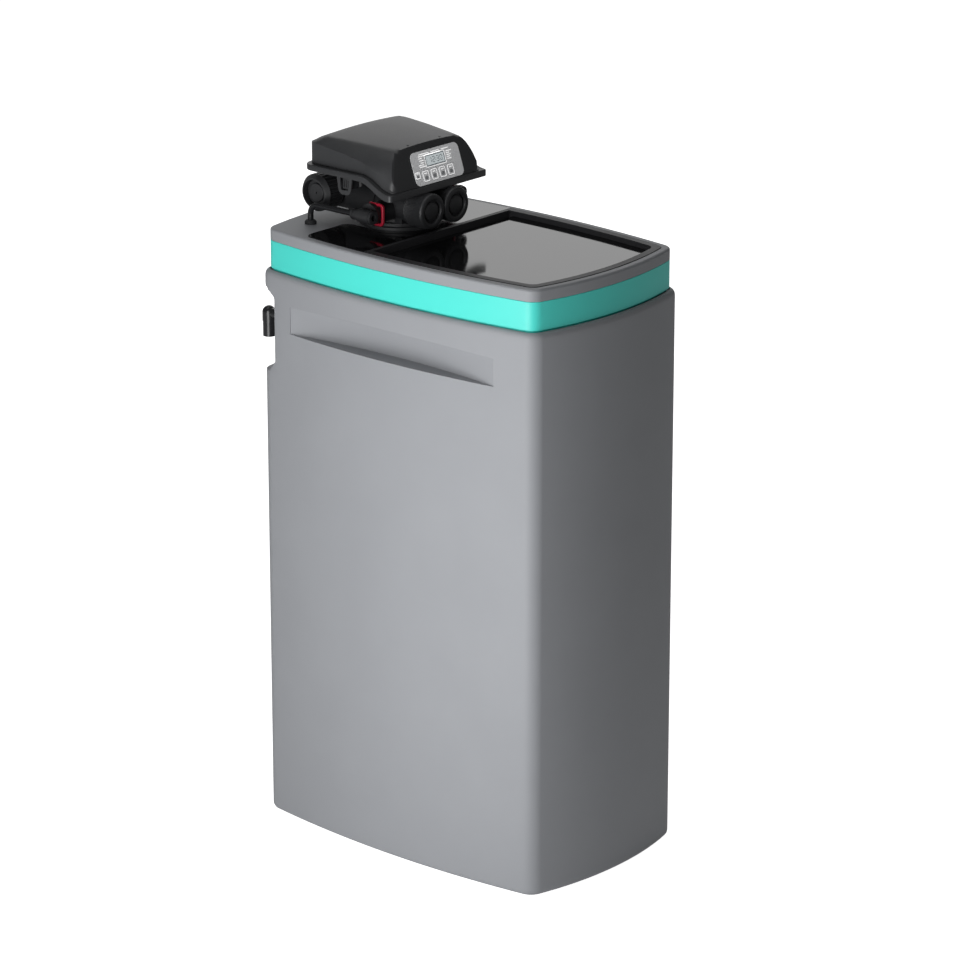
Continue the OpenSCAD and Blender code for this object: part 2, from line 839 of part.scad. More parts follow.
module valve_body() {
  color(black)
    at_valve()
      difference() {
        union() {
          translate([0, 0, -base_drop - spigot_h]) cylinder(r = thread_r - run_fit, h = spigot_h + 1);
          translate([0, 0, -base_drop]) cylinder(r = base_r, h = base_drop + base_h);
          translate([-barrel_x - barrel_r + 6, -bridge_front, base_h - 4])
            cube([2 * (barrel_x + barrel_r - 6), bridge_front + barrel_rear, barrel_z - base_h + 4]);
          both_sides() along_y(barrel_x, barrel_z, 4 - cap_face, barrel_rear, barrel_r);
          both_sides() along_y(barrel_x, barrel_z, 6, 11, barrel_r + 2);
          translate([-barrel_x - bridge_x, barrel_rear - 8, base_h])
            cube([2 * (barrel_x + bridge_x), port_back - barrel_rear + 8, port_z + arm_r - base_h]);
          across_x(port_back, port_z, -arm_end, arm_end, arm_r);
          both_sides() across_x(port_back, port_z, barrel_x, nut_face - nut_len - slip, arm_r + 4);
          cylinder(r = 8, h = tower_h);
          both_sides() across_x(-spigot_front, spigot_z, barrel_x, boss_end, boss_r);
          posts() translate([0, 0, barrel_z]) cylinder(r = 5, h = plate_z - barrel_z);
        }
        translate([0, 0, chamber_low]) cylinder(r = chamber_r + slip, h = chamber_h);
        translate([0, 0, -base_drop - spigot_h - 1]) cylinder(r = riser_r + run_fit, h = riser_top - neck_z + spigot_h + 1);
        translate([0, 0, -base_drop - 8]) cylinder(r = riser_r - 2.5, h = 20);
        for (a = [0 : 60 : 300])
          rotate(a) translate([riser_r + 7.5, 0, -base_drop - spigot_h - 1]) cylinder(r = 3.5, h = spigot_h + 10);
        translate([0, 0, -base_drop])
          rotate_extrude() translate([ring_path - ring_r - run_fit, -1]) square([2 * (ring_r + run_fit), 2 * ring_r + 1 + run_fit]);
        cylinder(r = shaft_r + run_fit, h = 2 * tower_h, center = true);
        both_sides() along_y(barrel_x, barrel_z, -cap_face, barrel_rear - bore_end, bore_r);
        both_sides() translate([barrel_x, 0, chamber_low + chamber_h - 1]) cylinder(r = 6, h = barrel_z - chamber_low - chamber_h);
        both_sides() across_x(port_back, port_z, 8, nut_face, port_bore_r);
        both_sides() along_y(barrel_x, port_z, 20, port_back, 6);
        both_sides() across_x(-spigot_front, spigot_z, barrel_x + bore_r / 2, spigot_end, 3.4);
        both_sides() across_x(-spigot_front, spigot_z, spigot_end - slip, boss_end + 1, spigot_r + run_fit);
        both_sides() across_x(-spigot_front, spigot_z, clip_x - 5 - slip, boss_end + 1, mouth_r);
        both_sides() clip_slots();
        across_x(port_back, port_z, 3, 9, axle_r + run_fit);
        posts() translate([0, 0, plate_z - screw_len - 2]) cylinder(r = screw_r + run_fit, h = screw_len + 3);
      }
}

// Slots in a boss that take the arms of a retaining clip
module clip_slots() {
  half = clip_t / 2 + slip;
  for (s = [-1, 1])
    translate([clip_x - half, -spigot_front - 2 * boss_r, spigot_z + s * clip_arm - half])
      cube([2 * half, 4 * boss_r, 2 * half]);
}

// Rotor: the ceramic disc under the barrels, its shaft, and the gear on top
rotor_h = 8;
gear_z = 100.5;
gear_h = 6;
module rotor_disc() {
  color(white)
    at_valve()
      difference() {
        translate([0, 0, chamber_low + 2]) cylinder(r = chamber_r, h = rotor_h);
        translate([0, 0, chamber_low]) cylinder(r = shaft_r + run_fit, h = 2 * rotor_h);
        for (a = [0, 120, 240])
          rotate(a + 30) translate([barrel_x, 0, chamber_low]) cylinder(r = 7, h = 2 * rotor_h);
      }
}

module drive_shaft() {
  color(steel)
    at_valve() translate([0, 0, chamber_low + 2]) cylinder(r = shaft_r, h = gear_z + gear_h - chamber_low);
}

// Involute gears of the drive
gear_module = 1.25;
gear_teeth = 56;
pinion_teeth = 14;
pressure = 20;
backlash = 0.25;
mesh_gap = 0.15;
addendum = 0.85;
flank_steps = 5;
mesh_angle = 180;
mesh_dist = gear_module * (gear_teeth + pinion_teeth) / 2 + mesh_gap;
function involute(a) = tan(a) * 180 / PI - a;
function tooth_half(r, rb, rp, teeth) =
  90 / teeth - backlash / rp * 90 / PI + involute(pressure) - involute(acos(min(1, rb / r)));
module gear_plan(teeth) {
  rp = gear_module * teeth / 2;
  rb = rp * cos(pressure);
  tip = rp + addendum * gear_module;
  root = rp - 1.25 * gear_module;
  first = max(rb, root);
  undercut = rb > root ? 1.5 : -0.5;
  rs = [for (i = [0 : flank_steps]) first + (tip - first) * i / flank_steps];
  polygon([for (t = [0 : teeth - 1]) let (a = 360 * t / teeth) each concat(
    [polar(root, a - tooth_half(first, rb, rp, teeth) + undercut)],
    [for (r = rs) polar(r, a - tooth_half(r, rb, rp, teeth))],
    [for (i = [flank_steps : -1 : 0]) polar(rs[i], a + tooth_half(rs[i], rb, rp, teeth))],
    [polar(root, a + tooth_half(first, rb, rp, teeth) - undercut)])]);
}

module drive_gear() {
  color(white)
    at_valve()
      translate([0, 0, gear_z])
        difference() {
          union() {
            rotate(mesh_angle) linear_extrude(gear_h) gear_plan(gear_teeth);
            translate([0, 0, -6]) cylinder(r = 9, h = 7);
          }
          translate([0, 0, -7]) cylinder(r = shaft_r + run_fit, h = 20);
          for (a = [0 : 60 : 300])
            rotate(a) translate([20, 0, -1]) cylinder(r = 6, h = gear_h + 2);
        }
}

motor_r = 14;
motor_h = gear_z - plate_z - plate_t - 4;
module at_motor() {
  at_valve() translate([mesh_dist * cos(mesh_angle), mesh_dist * sin(mesh_angle), 0]) children();
}

module motor_pinion() {
  color(steel)
    at_motor() {
      translate([0, 0, gear_z - 0.5])
        linear_extrude(gear_h + 1) rotate(mesh_angle + 180 + 180 / pinion_teeth) gear_plan(pinion_teeth);
      translate([0, 0, plate_z + plate_t + 8]) cylinder(r = screw_r, h = gear_z - plate_z - plate_t - 8);
    }
}

module drive_motor() {
  color(steel)
    at_motor()
      difference() {
        union() {
          translate([0, 0, plate_z + plate_t]) cylinder(r = motor_r, h = motor_h);
          translate([0, 0, plate_z + plate_t + motor_h]) cylinder(r = 5, h = 2);
        }
        translate([0, 0, plate_z + plate_t + 8]) cylinder(r = screw_r + run_fit, h = motor_h);
      }
}

// Drive plate on the valve's posts, with a lug behind each latch of the cover
plate_hw = 78;
plate_front = 50;
plate_rear = 68;
latch_y = 11;
latch_w = 27;
latch_low = 52.9;
latch_t = 2.4;
lug_gap = 1.2;
module drive_base() {
  color(black)
    at_valve()
      difference() {
        union() {
          translate([-plate_hw, -plate_front, plate_z]) cube([2 * plate_hw, plate_front + plate_rear, plate_t]);
          both_sides()
            translate([plate_hw - 4, latch_y - 6, latch_low + 7])
              cube([cover_hw - latch_t - lug_gap - plate_hw + 4, 12, plate_z + plate_t - latch_low - 7]);
        }
        both_sides()
          for (i = [-1 : 1])
            translate([cover_hw - latch_t - lug_gap - 3, latch_y + 3.6 * i - 0.7, latch_low + 9])
              cube([4, 1.4, 10]);
        translate([0, 0, plate_z - 1]) cylinder(r = 10, h = plate_t + 2);
        posts() translate([0, 0, plate_z - 1]) cylinder(r = screw_r + slip, h = plate_t + 2);
      }
}

module base_screws() {
  color(steel)
    at_valve()
      posts() {
        translate([0, 0, plate_z - screw_len]) cylinder(r = screw_r, h = plate_t + screw_len);
        translate([0, 0, plate_z + plate_t]) cylinder(r = 2 * screw_r, h = screw_head);
      }
}

// End caps of the barrels, fluted for grip, with a domed disc in the face
flutes = 30;
flute_r = 1.2;
module end_cap() {
  dome_r = 13;
  groove = 2.5;
  face = [for (i = [0 : 6]) [dome_r * i / 6, 1.5 * pow(i / 6, 2)]];
  rotate([-90, 0, 0])
    difference() {
      rotate_extrude()
        polygon(concat(face, [[dome_r, groove], [dome_r + 2.5, groove], [dome_r + 2.5, 0], [cap_r - 3, 0],
          [cap_r, 2.5], [cap_r, cap_len], [0, cap_len]]));
      translate([0, 0, 4]) cylinder(r = barrel_r + run_fit, h = cap_len);
      for (i = [0 : flutes - 1])
        rotate(360 * i / flutes) translate([cap_r + flute_r / 2, 0, 4]) cylinder(r = flute_r, h = cap_len, $fn = 16);
    }
}

module end_cap_left() {
  color(black) at_valve() translate([-barrel_x, -cap_face, barrel_z]) end_cap();
}

module end_cap_right() {
  color(black) at_valve() translate([barrel_x, -cap_face, barrel_z]) end_cap();
}

// Injector in the left barrel: a throat between two cones
module injector() {
  y0 = 8 - cap_face;
  throat = 1.2;
  color(white)
    at_valve()
      translate([-barrel_x, y0, barrel_z])
        rotate([-90, 0, 0])
          difference() {
            union() {
              cylinder(r = bore_r - run_fit, h = 6);
              cylinder(r = 8, h = 44);
              translate([0, 0, 38]) cylinder(r = bore_r - run_fit, h = 6);
            }
            translate([0, 0, -eps]) cylinder(r1 = 5, r2 = throat, h = 22);
            translate([0, 0, 20]) cylinder(r1 = throat, r2 = 4, h = 25);
          }
}

module filter_screen() {
  h = 70;
  color(white)
    at_valve()
      translate([barrel_x, 8 - cap_face, barrel_z])
        rotate([-90, 0, 0])
          difference() {
            union() {
              cylinder(r = bore_r - run_fit, h = 4);
              cylinder(r = bore_r - 2, h = h);
            }
            translate([0, 0, -1]) cylinder(r = bore_r - 4, h = h - 2);
            strainer_slots(bore_r, 10, h - 20, 12);
          }
}

// Union nuts turn on the port arms; a transport plug closes each port
nut_thread = arm_r + 1.6;
nut_mouth = 17.6;
nut_lip = 3;
nut_shoulder = 6;
module union_nut() {
  rotate([0, 90, 0])
    difference() {
      rotate_extrude()
        polygon([[arm_r + run_fit, 0], [nut_r - 2, 0], [nut_r, 2], [nut_r, nut_len - 6], [nut_r - 4, nut_len - 1],
          [nut_r - 5, nut_len], [nut_thread, nut_len], [nut_thread, nut_shoulder], [arm_r + run_fit, nut_shoulder]]);
      for (i = [0 : flutes - 1])
        rotate(360 * i / flutes)
          translate([nut_r + flute_r / 2, 0, 4]) cylinder(r = 1.4 * flute_r, h = nut_len - 11, $fn = 16);
    }
}

module union_nut_left() {
  color(black) at_valve() mirror([1, 0, 0]) translate([nut_face - nut_len, port_back, port_z]) union_nut();
}

module union_nut_right() {
  color(black) at_valve() translate([nut_face - nut_len, port_back, port_z]) union_nut();
}

plug_rim = 2;
plug_in = 5;
module port_plug() {
  rotate([0, 90, 0])
    difference() {
      union() {
        cylinder(r = nut_mouth, h = plug_rim);
        translate([0, 0, plug_rim - eps]) cylinder(r = port_bore_r, h = nut_face - arm_end - plug_in - plug_rim);
        translate([0, 0, -8]) cylinder(r = port_bore_r - slip, h = 9);
      }
      translate([0, 0, -9]) cylinder(r = port_bore_r - 2.5, h = 8);
      cylinder(r = 1.2, h = 40, center = true);
    }
}

module port_plug_left() {
  color(black) at_valve() mirror([1, 0, 0]) translate([arm_end, port_back, port_z]) port_plug();
}

module port_plug_right() {
  color(black) at_valve() translate([arm_end, port_back, port_z]) port_plug();
}

// Flow turbine on a pin in the right-hand port
axle_r = 1;
turbine_x = 16;
turbine_w = 10;
module turbine() {
  color(white)
    at_valve()
      translate([turbine_x, port_back, port_z])
        rotate([0, 90, 0])
          difference() {
            union() {
              cylinder(r = 3.5, h = turbine_w);
              for (a = [0 : 60 : 300])
                rotate(a) translate([2, -0.6, 0]) cube([port_bore_r - 3, 1.2, turbine_w]);
            }
            translate([0, 0, -1]) cylinder(r = axle_r + run_fit, h = turbine_w + 2);
          }
}

module turbine_pin() {
  color(steel)
    at_valve() {
      across_x(port_back, port_z, 3, turbine_x + turbine_w + 4, axle_r);
      across_x(port_back, port_z, turbine_x + turbine_w + slip, turbine_x + turbine_w + 2, 2);
      across_x(port_back, port_z, turbine_x - 2, turbine_x - slip, 2);
    }
}

// Brine and drain elbows: a spigot held in the boss by a clip, and a body along Y
elbow_r = 8.8;
elbow_lap = 13;
elbow_front = spigot_front + 17;
module elbow_core() {
  difference() {
    union() {
      across_x(-spigot_front, spigot_z, spigot_end, fitting_x, spigot_r);
      across_x(-spigot_front, spigot_z, clip_x - 5, clip_x - clip_t / 2 - slip, mouth_r - run_fit);
      across_x(-spigot_front, spigot_z, boss_end + slip, boss_end + 2.5, boss_r);
      along_y(fitting_x, spigot_z, -elbow_front, elbow_rear - elbow_lap + 1, elbow_r);
      along_y(fitting_x, spigot_z, -elbow_front + 4, -elbow_front + 7, elbow_r + 0.8);
    }
    along_y(fitting_x, spigot_z, -elbow_front - 1, -elbow_front + 9, 4.5);
    across_x(-spigot_front, spigot_z, spigot_end - 1, fitting_x, 4);
  }
}

module brine_elbow() {
  color(black)
    at_valve()
      mirror([1, 0, 0])
        difference() {
          union() {
            elbow_core();
            along_y(fitting_x, spigot_z, elbow_rear - elbow_lap, elbow_rear, 7);
            along_y(fitting_x, spigot_z, elbow_rear - 4, elbow_rear - 2, 7.8);
          }
          along_y(fitting_x, spigot_z, elbow_rear - tube_seat, elbow_rear + 1, tube_r + run_fit);
          along_y(fitting_x, spigot_z, -spigot_front, elbow_rear, tube_bore);
        }
}

drain_len = 34;
module drain_elbow() {
  color(black)
    at_valve()
      difference() {
        union() {
          elbow_core();
          along_y(fitting_x, spigot_z, elbow_rear - elbow_lap, elbow_rear + drain_len, drain_r);
        }
        along_y(fitting_x, spigot_z, -spigot_front, elbow_rear + drain_len + 1, drain_r - 2);
      }
}

// Retaining clip: a red fork pushed in from the front
clip_bridge = spigot_front + boss_r + 0.5;
clip_len = 24;
module clip() {
  half = clip_t / 2;
  for (s = [-1, 1])
    translate([clip_x - half, -clip_bridge - clip_t, spigot_z + s * clip_arm - half])
      cube([clip_t, clip_len, clip_t]);
  translate([clip_x - half, -clip_bridge - clip_t, spigot_z - clip_arm - half])
    cube([clip_t, clip_t, 2 * clip_arm + clip_t]);
}

module brine_clip() {
  color(crimson) at_valve() mirror([1, 0, 0]) clip();
}

module drain_clip() {
  color(crimson) at_valve() clip();
}

// Control cover: a domed shell with a leaning front, on a rim that drops towards the front
face_y = cover_front - 3;
face_z = rim_front_z + 10;
face_lean = 19.2;
face_hw = 85.5;
top_hw = 64;
rear_hw = 76;
lower_r = 14;
edge_r = 10;
front_top = cover_top - 5.4;
front_sphere_z = front_top - edge_r;
function face_touch(z, r) = -face_y + ((z - face_z) * sin(face_lean) + r) / cos(face_lean);
front_sphere_y = face_touch(front_sphere_z, edge_r);
cheek_hw = 79;
cheek_r = 12;
cheek_z = front_top - 22;
rear_y = cover_rear - 4;
drop_front = 66;
drop_rear = 14;
drop_steps = 14;

// Shoulder where the upright sides meet the bonnet: distance in front of the rear, and fall below the top
shoulder_r = 12;
shoulder_hw = cover_hw - 8;
crease_r = 5;
crease = [[70, 17.5], [95, 22.5], [110, 26.5], [123, 34], [131, 41]];

module cover_block(t, low) {
  hull()
    both_sides() {
      translate([face_hw - lower_r, lower_r - face_y, low]) cylinder(r = lower_r - t, h = face_z - low, $fn = 32);
      translate([shoulder_hw - shoulder_r, rear_y - shoulder_r, low])
        cylinder(r = shoulder_r - t, h = cover_top - 12 - low, $fn = 32);
      for (p = crease)
        translate([shoulder_hw - 1 - crease_r, rear_y - p[0], low])
          cylinder(r = crease_r - t, h = cover_top - p[1] - low, $fn = 16);
      translate([top_hw - edge_r, front_sphere_y, front_sphere_z]) sphere(edge_r - t, $fn = 32);
      translate([cheek_hw - cheek_r, face_touch(cheek_z, cheek_r), cheek_z]) sphere(cheek_r - t, $fn = 32);
      translate([rear_hw - edge_r, rear_y - edge_r - 1, cover_top - edge_r]) sphere(edge_r - t, $fn = 32);
    }
}

// Height of the rim's lower edge, easing from the low front to the high sides
function rim_low(y) =
  let (t = min(1, max(0, (y + drop_front) / (drop_front - drop_rear))))
  rim_front_z + (rim_side_z - rim_front_z) * (1 - cos(180 * t)) / 2;

module rim_band(below, above) {
  reach = 2 * cover_hw;
  ys = concat([-reach], [for (i = [0 : drop_steps]) -drop_front + (drop_front - drop_rear) * i / drop_steps], [reach]);
  rotate([90, 0, 90])
    translate([0, 0, -reach])
      linear_extrude(2 * reach)
        polygon(concat([for (y = ys) [y, rim_low(y) - below]],
          [for (i = [len(ys) - 1 : -1 : 0]) [ys[i], rim_low(ys[i]) + above]]));
}

// Plan of the rim: tight corners at the front, round ones at the rear
rim_front_r = 5;
rim_rear_r = 18;
module rim_outline(inset) {
  for (e = [[rim_rear_r, -cover_front / 2, cover_rear], [rim_front_r, -cover_front, cover_rear / 2]])
    offset(r = e[0] - inset)
      translate([e[0] - cover_hw, e[1] + e[0]])
        square([2 * (cover_hw - e[0]), e[2] - e[1] - 2 * e[0]]);
}

module on_face() {
  at_valve() translate([0, -face_y, face_z]) rotate([90 - face_lean, 0, 0]) children();
}

// Places on the front face: X across, Y up the face
panel_x = 6.5;
panel_mid = 22.6;
lcd_w = 37;
lcd_h = 14.5;
lcd_x = 5.5;
lcd_y = 30.2;
key_x = -19.5;
key_y = 11.4;
small_key = [-34.8, 14.7];
small_w = 10;
overlay_t = 0.6;
key_proud = 0.5;
key_gap = 0.3;
key_rim = 1;
board_z = 8;
board_t = 1.6;
post_across = [-36, 46];
post_up = [6, 40];
skirt_h = 60;
band_reach = 100;

module rounded(w, h, r) {
  offset(r = r) square([w - 2 * r, h - 2 * r], center = true);
}

module key_plan(i, grow) {
  if (i == 0) translate(small_key) rounded(small_w + 2 * grow, small_w + 2 * grow, 2);
  else translate([key_x + (i - 1) * key_pitch, key_y]) rounded(key_w + 2 * grow, key_h + 2 * grow, 2.5);
}

module face_windows(grow) {
  translate([lcd_x, lcd_y]) rounded(lcd_w + 2 * grow, lcd_h + 2 * grow, 1);
  for (i = [0 : 4]) key_plan(i, grow);
}

module control_cover() {
  color(black) {
    difference() {
      union() {
        at_valve()
          difference() {
            union() {
              difference() {
                cover_block(0, rim_front_z - 4);
                rim_band(band_reach, 0);
              }
              intersection() {
                translate([0, 0, rim_front_z - 1]) linear_extrude(skirt_h) rim_outline(0);
                rim_band(0, rim_h);
              }
            }
            cover_block(cover_wall, rim_front_z - 8);
            both_sides() translate([panel_w / 3, front_sphere_y - 1, front_top - 12]) cylinder(r = 1.6, h = 20);
          }
        at_valve() both_sides() latch();
      }
      on_face() translate([0, 0, -2 * cover_wall]) linear_extrude(4 * cover_wall) face_windows(key_gap);
    }
    on_face()
      for (x = post_across, y = post_up)
        translate([x, y, -board_z]) cylinder(r = 2, h = board_z - cover_wall + 0.4);
  }
}

// U-shaped latch hanging from the rim over the lug of the drive plate
module latch() {
  r = 8;
  translate([cover_hw - latch_t, latch_y, latch_low])
    rotate([90, 0, 90])
      linear_extrude(latch_t)
        difference() {
          translate([0, (rim_side_z - latch_low) / 2 + 1]) rounded(latch_w, rim_side_z - latch_low + 2, r);
          translate([0, (rim_side_z - latch_low) / 2 + 3]) rounded(latch_w - 12, rim_side_z - latch_low - 8, 4);
        }
}

module panel_overlay() {
  color("#aaacae")
    on_face()
      linear_extrude(overlay_t)
        difference() {
          translate([panel_x, panel_mid]) rounded(panel_w, panel_h, 8);
          face_windows(key_gap);
        }
}

module lcd() {
  color("#9fb0a8")
    on_face()
      translate([lcd_x, lcd_y, -board_z])
        linear_extrude(board_z + overlay_t / 2) rounded(lcd_w, lcd_h, 0.8);
}

module circuit_board() {
  color("#2f6a45")
    on_face()
      translate([panel_x, panel_mid, -board_z - board_t])
        linear_extrude(board_t) square([panel_w - 4, panel_h - 7], center = true);
}

module button(i) {
  back = cover_wall + slip;
  color("#c4c6c8")
    on_face() {
      translate([0, 0, -back]) linear_extrude(back + overlay_t + key_proud) key_plan(i, 0);
      translate([0, 0, -back - 1.5]) linear_extrude(1.5) key_plan(i, key_rim);
    }
}

module button_1() {
  button(0);
}

module button_2() {
  button(1);
}

module button_3() {
  button(2);
}

module button_4() {
  button(3);
}

module button_5() {
  button(4);
}

cabinet_body();
trim_band();
top_cover();
rear_panel();
salt_frame();
salt_lid();
hinge_pins();
salt_grid();
brine_well();
well_cap();
safety_valve();
brine_float();
brine_tube();
tube_grommet();
overflow_elbow();
overflow_grommet();
resin_tank();
tank_boot();
resin_bed();
riser_tube();
bottom_strainer();
top_strainer();
neck_o_ring();
deck_collar();
valve_body();
rotor_disc();
drive_shaft();
drive_gear();
motor_pinion();
drive_motor();
drive_base();
base_screws();
end_cap_left();
end_cap_right();
injector();
filter_screen();
union_nut_left();
union_nut_right();
port_plug_left();
port_plug_right();
turbine();
turbine_pin();
brine_elbow();
brine_clip();
drain_elbow();
drain_clip();
control_cover();
panel_overlay();
lcd();
circuit_board();
button_1();
button_2();
button_3();
button_4();
button_5();
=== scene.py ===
import math

import bmesh
import bpy
from mathutils import Matrix, Vector


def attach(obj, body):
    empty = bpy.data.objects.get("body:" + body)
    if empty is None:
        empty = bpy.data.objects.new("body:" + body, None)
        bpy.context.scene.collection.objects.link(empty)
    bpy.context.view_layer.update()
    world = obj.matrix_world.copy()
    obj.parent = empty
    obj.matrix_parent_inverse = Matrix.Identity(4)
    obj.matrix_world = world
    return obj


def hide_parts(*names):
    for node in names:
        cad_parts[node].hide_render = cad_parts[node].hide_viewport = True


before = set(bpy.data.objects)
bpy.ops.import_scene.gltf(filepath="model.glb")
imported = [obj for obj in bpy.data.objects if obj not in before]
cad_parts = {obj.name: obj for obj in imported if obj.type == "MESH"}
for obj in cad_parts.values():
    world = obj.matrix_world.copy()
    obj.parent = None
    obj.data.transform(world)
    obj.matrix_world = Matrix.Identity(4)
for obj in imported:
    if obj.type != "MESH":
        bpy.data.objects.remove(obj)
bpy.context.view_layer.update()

# Cabinet: the brine tank, one deep moulding in grey polypropylene with bowed walls.
# Hand grips are moulded into both sides and a hose trough runs across the back.
# It stands on the floor and carries all the rest. Lengths are in millimetres.
MM = 0.001
WIDTH, DEPTH, HEIGHT = 292.0, 475.0, 772.6
SIDE_BOW, FRONT_BOW, BACK_BOW = 19.1, 22.7, 15.9
CORNER, WALL, FOOT, RIM, RIM_IN = 24.0, 4.0, 8.0, 8.5, 6.4
GROOVE = [(6.7, 772.3), (6.9, 771.6), (6.9, 769.6), (14.0, 769.4)]
GRIP_HALF, GRIP_LOW, GRIP_HIGH, GRIP_RISE = 178.0, 694.5, 731.5, 6.0
GRIP_ROWS = [704.0, 713.0, 722.0]
GRIP_STEP, GRIP_DEPTH, GRIP_LEAN = 1.2, 25.0, 0.1
TROUGH_LOW, TROUGH_SHELF, TROUGH_COVE, TROUGH_TOP = 633.5, 648.5, 735.0, 757.0
TROUGH_MOUTH, TROUGH_WALL, TROUGH_EDGE = 240.9, 215.4, 0.2
SIDE_FROM = WIDTH / 2 + 5


def bow_radius(chord, bow):
    """Radius of an arc from its chord and its bow."""
    return (chord ** 2 / 4 + bow ** 2) / (2 * bow)


PLAN_Y = (FRONT_BOW - BACK_BOW) / 2
SIDE_R = bow_radius(DEPTH, SIDE_BOW)
FRONT_R = bow_radius(WIDTH, FRONT_BOW)
BACK_R = bow_radius(WIDTH, BACK_BOW)
SIDE_C = Vector((WIDTH / 2 + SIDE_BOW - SIDE_R, PLAN_Y))
FRONT_C = Vector((0, PLAN_Y - DEPTH / 2 - FRONT_BOW + FRONT_R))
BACK_C = Vector((0, PLAN_Y + DEPTH / 2 + BACK_BOW - BACK_R))


def corner_centre(end_c, end_r, side, inset, corner):
    """Centre of the corner arc that touches a side wall and an end wall: where two circles cross."""
    side_r, far_r = SIDE_R - inset - corner, end_r - inset - corner
    gap = end_c - SIDE_C
    along_gap = (side_r ** 2 - far_r ** 2 + gap.length_squared) / (2 * gap.length)
    off = math.sqrt(side_r ** 2 - along_gap ** 2)
    foot = SIDE_C + gap.normalized() * along_gap
    across = Vector((-gap.y, gap.x)).normalized() * off
    return max((foot + across, foot - across), key=lambda point: point.y * side)


def heading(point, centre):
    """Angle of the line from a centre to a point."""
    return math.atan2(point.y - centre.y, point.x - centre.x)


def verts_of(geom):
    """The points among the elements that an operator returns."""
    return [v for v in geom if isinstance(v, bmesh.types.BMVert)]


def plan_ring(bm, inset, corner, z):
    """One level of the cabinet's plan, spun arc by arc round the right half and mirrored to the left."""
    before = set(bm.edges)
    front = corner_centre(FRONT_C, FRONT_R, -1, inset, corner)
    rear = corner_centre(BACK_C, BACK_R, 1, inset, corner)
    grip = math.asin(GRIP_HALF / SIDE_R)
    turns = [(FRONT_C, -math.pi / 2, heading(front, FRONT_C), 8),
             (front, heading(front, FRONT_C), heading(front, SIDE_C), 8),
             (SIDE_C, heading(front, SIDE_C), -grip, 3),
             (SIDE_C, -grip, grip, 24),
             (SIDE_C, grip, heading(rear, SIDE_C), 3),
             (rear, heading(rear, SIDE_C), heading(rear, BACK_C), 8),
             (BACK_C, heading(rear, BACK_C), math.pi / 2, 8)]
    tip = bm.verts.new((0, FRONT_C.y - FRONT_R + inset, z))
    for centre, start, end, steps in turns:
        spun = bmesh.ops.spin(bm, geom=[tip], cent=(centre.x, centre.y, z), axis=(0, 0, 1), angle=end - start,
                              steps=steps, use_merge=False)
        tip = verts_of(spun["geom_last"])[0]
    half = [e for e in bm.edges if e not in before]
    verts = list({v for e in half for v in e.verts})
    bmesh.ops.mirror(bm, geom=verts + half, axis="X", merge_dist=0.01)
    return [e for e in bm.edges if e not in before]


def stack(bm, levels):
    """Joins rings of the plan, each given by its inset, corner radius and height."""
    rings = [plan_ring(bm, *level) for level in levels]
    for low, high in zip(rings, rings[1:]):
        bmesh.ops.bridge_loops(bm, edges=low + high)
    return rings


def trough_wall(z):
    """How far back the wall may reach at a height: a shelf, a flat wall and a coved top."""
    if z < TROUGH_SHELF:
        return TROUGH_MOUTH + (TROUGH_WALL - TROUGH_MOUTH) * (z - TROUGH_LOW) / (TROUGH_SHELF - TROUGH_LOW)
    cove = max(0.0, (z - TROUGH_COVE) / (TROUGH_TOP - TROUGH_COVE))
    return TROUGH_MOUTH - (TROUGH_MOUTH - TROUGH_WALL) * (1 + math.cos(math.pi * cove)) / 2


# Each level is an inset and a height: a rounded foot, the wall, a rolled rim and the groove inside it.
quarter = [math.radians(22.5 * i) for i in range(5)]
wall_heights = [TROUGH_LOW - TROUGH_EDGE, TROUGH_LOW, TROUGH_SHELF, GRIP_LOW, *GRIP_ROWS, GRIP_HIGH]
wall_heights += [TROUGH_COVE + (TROUGH_TOP - TROUGH_COVE) * i / 6 for i in range(7)]
wall_heights.append(TROUGH_TOP + TROUGH_EDGE)
levels = [(FOOT * (1 - math.sin(a)), FOOT * (1 - math.cos(a))) for a in quarter]
levels += [(0.0, z) for z in wall_heights]
levels += [(RIM_IN * (1 - math.cos(a)), HEIGHT - RIM + RIM * math.sin(a)) for a in quarter]
levels += GROOVE
bm = bmesh.new()
rings = stack(bm, [(inset, CORNER - inset, z) for inset, z in levels])
bmesh.ops.contextual_create(bm, geom=rings[0])


def grip_bulge(vert):
    """How far along the grip's arch a point lies: 1 in the middle, 0 at the ends and beyond."""
    return max(0.0, 1 - ((vert.co.y - PLAN_Y) / GRIP_HALF) ** 2)


for vert in bm.verts:
    if TROUGH_LOW <= vert.co.z <= TROUGH_TOP:
        vert.co.y = min(vert.co.y, trough_wall(vert.co.z))
    if abs(vert.co.x) > SIDE_FROM and GRIP_LOW < vert.co.z < HEIGHT - RIM:
        share = (vert.co.z - GRIP_LOW) / (GRIP_HIGH - GRIP_LOW)
        fade = (HEIGHT - RIM - vert.co.z) / (HEIGHT - RIM - GRIP_HIGH)
        vert.co.z += GRIP_RISE * grip_bulge(vert) * min(share, fade)
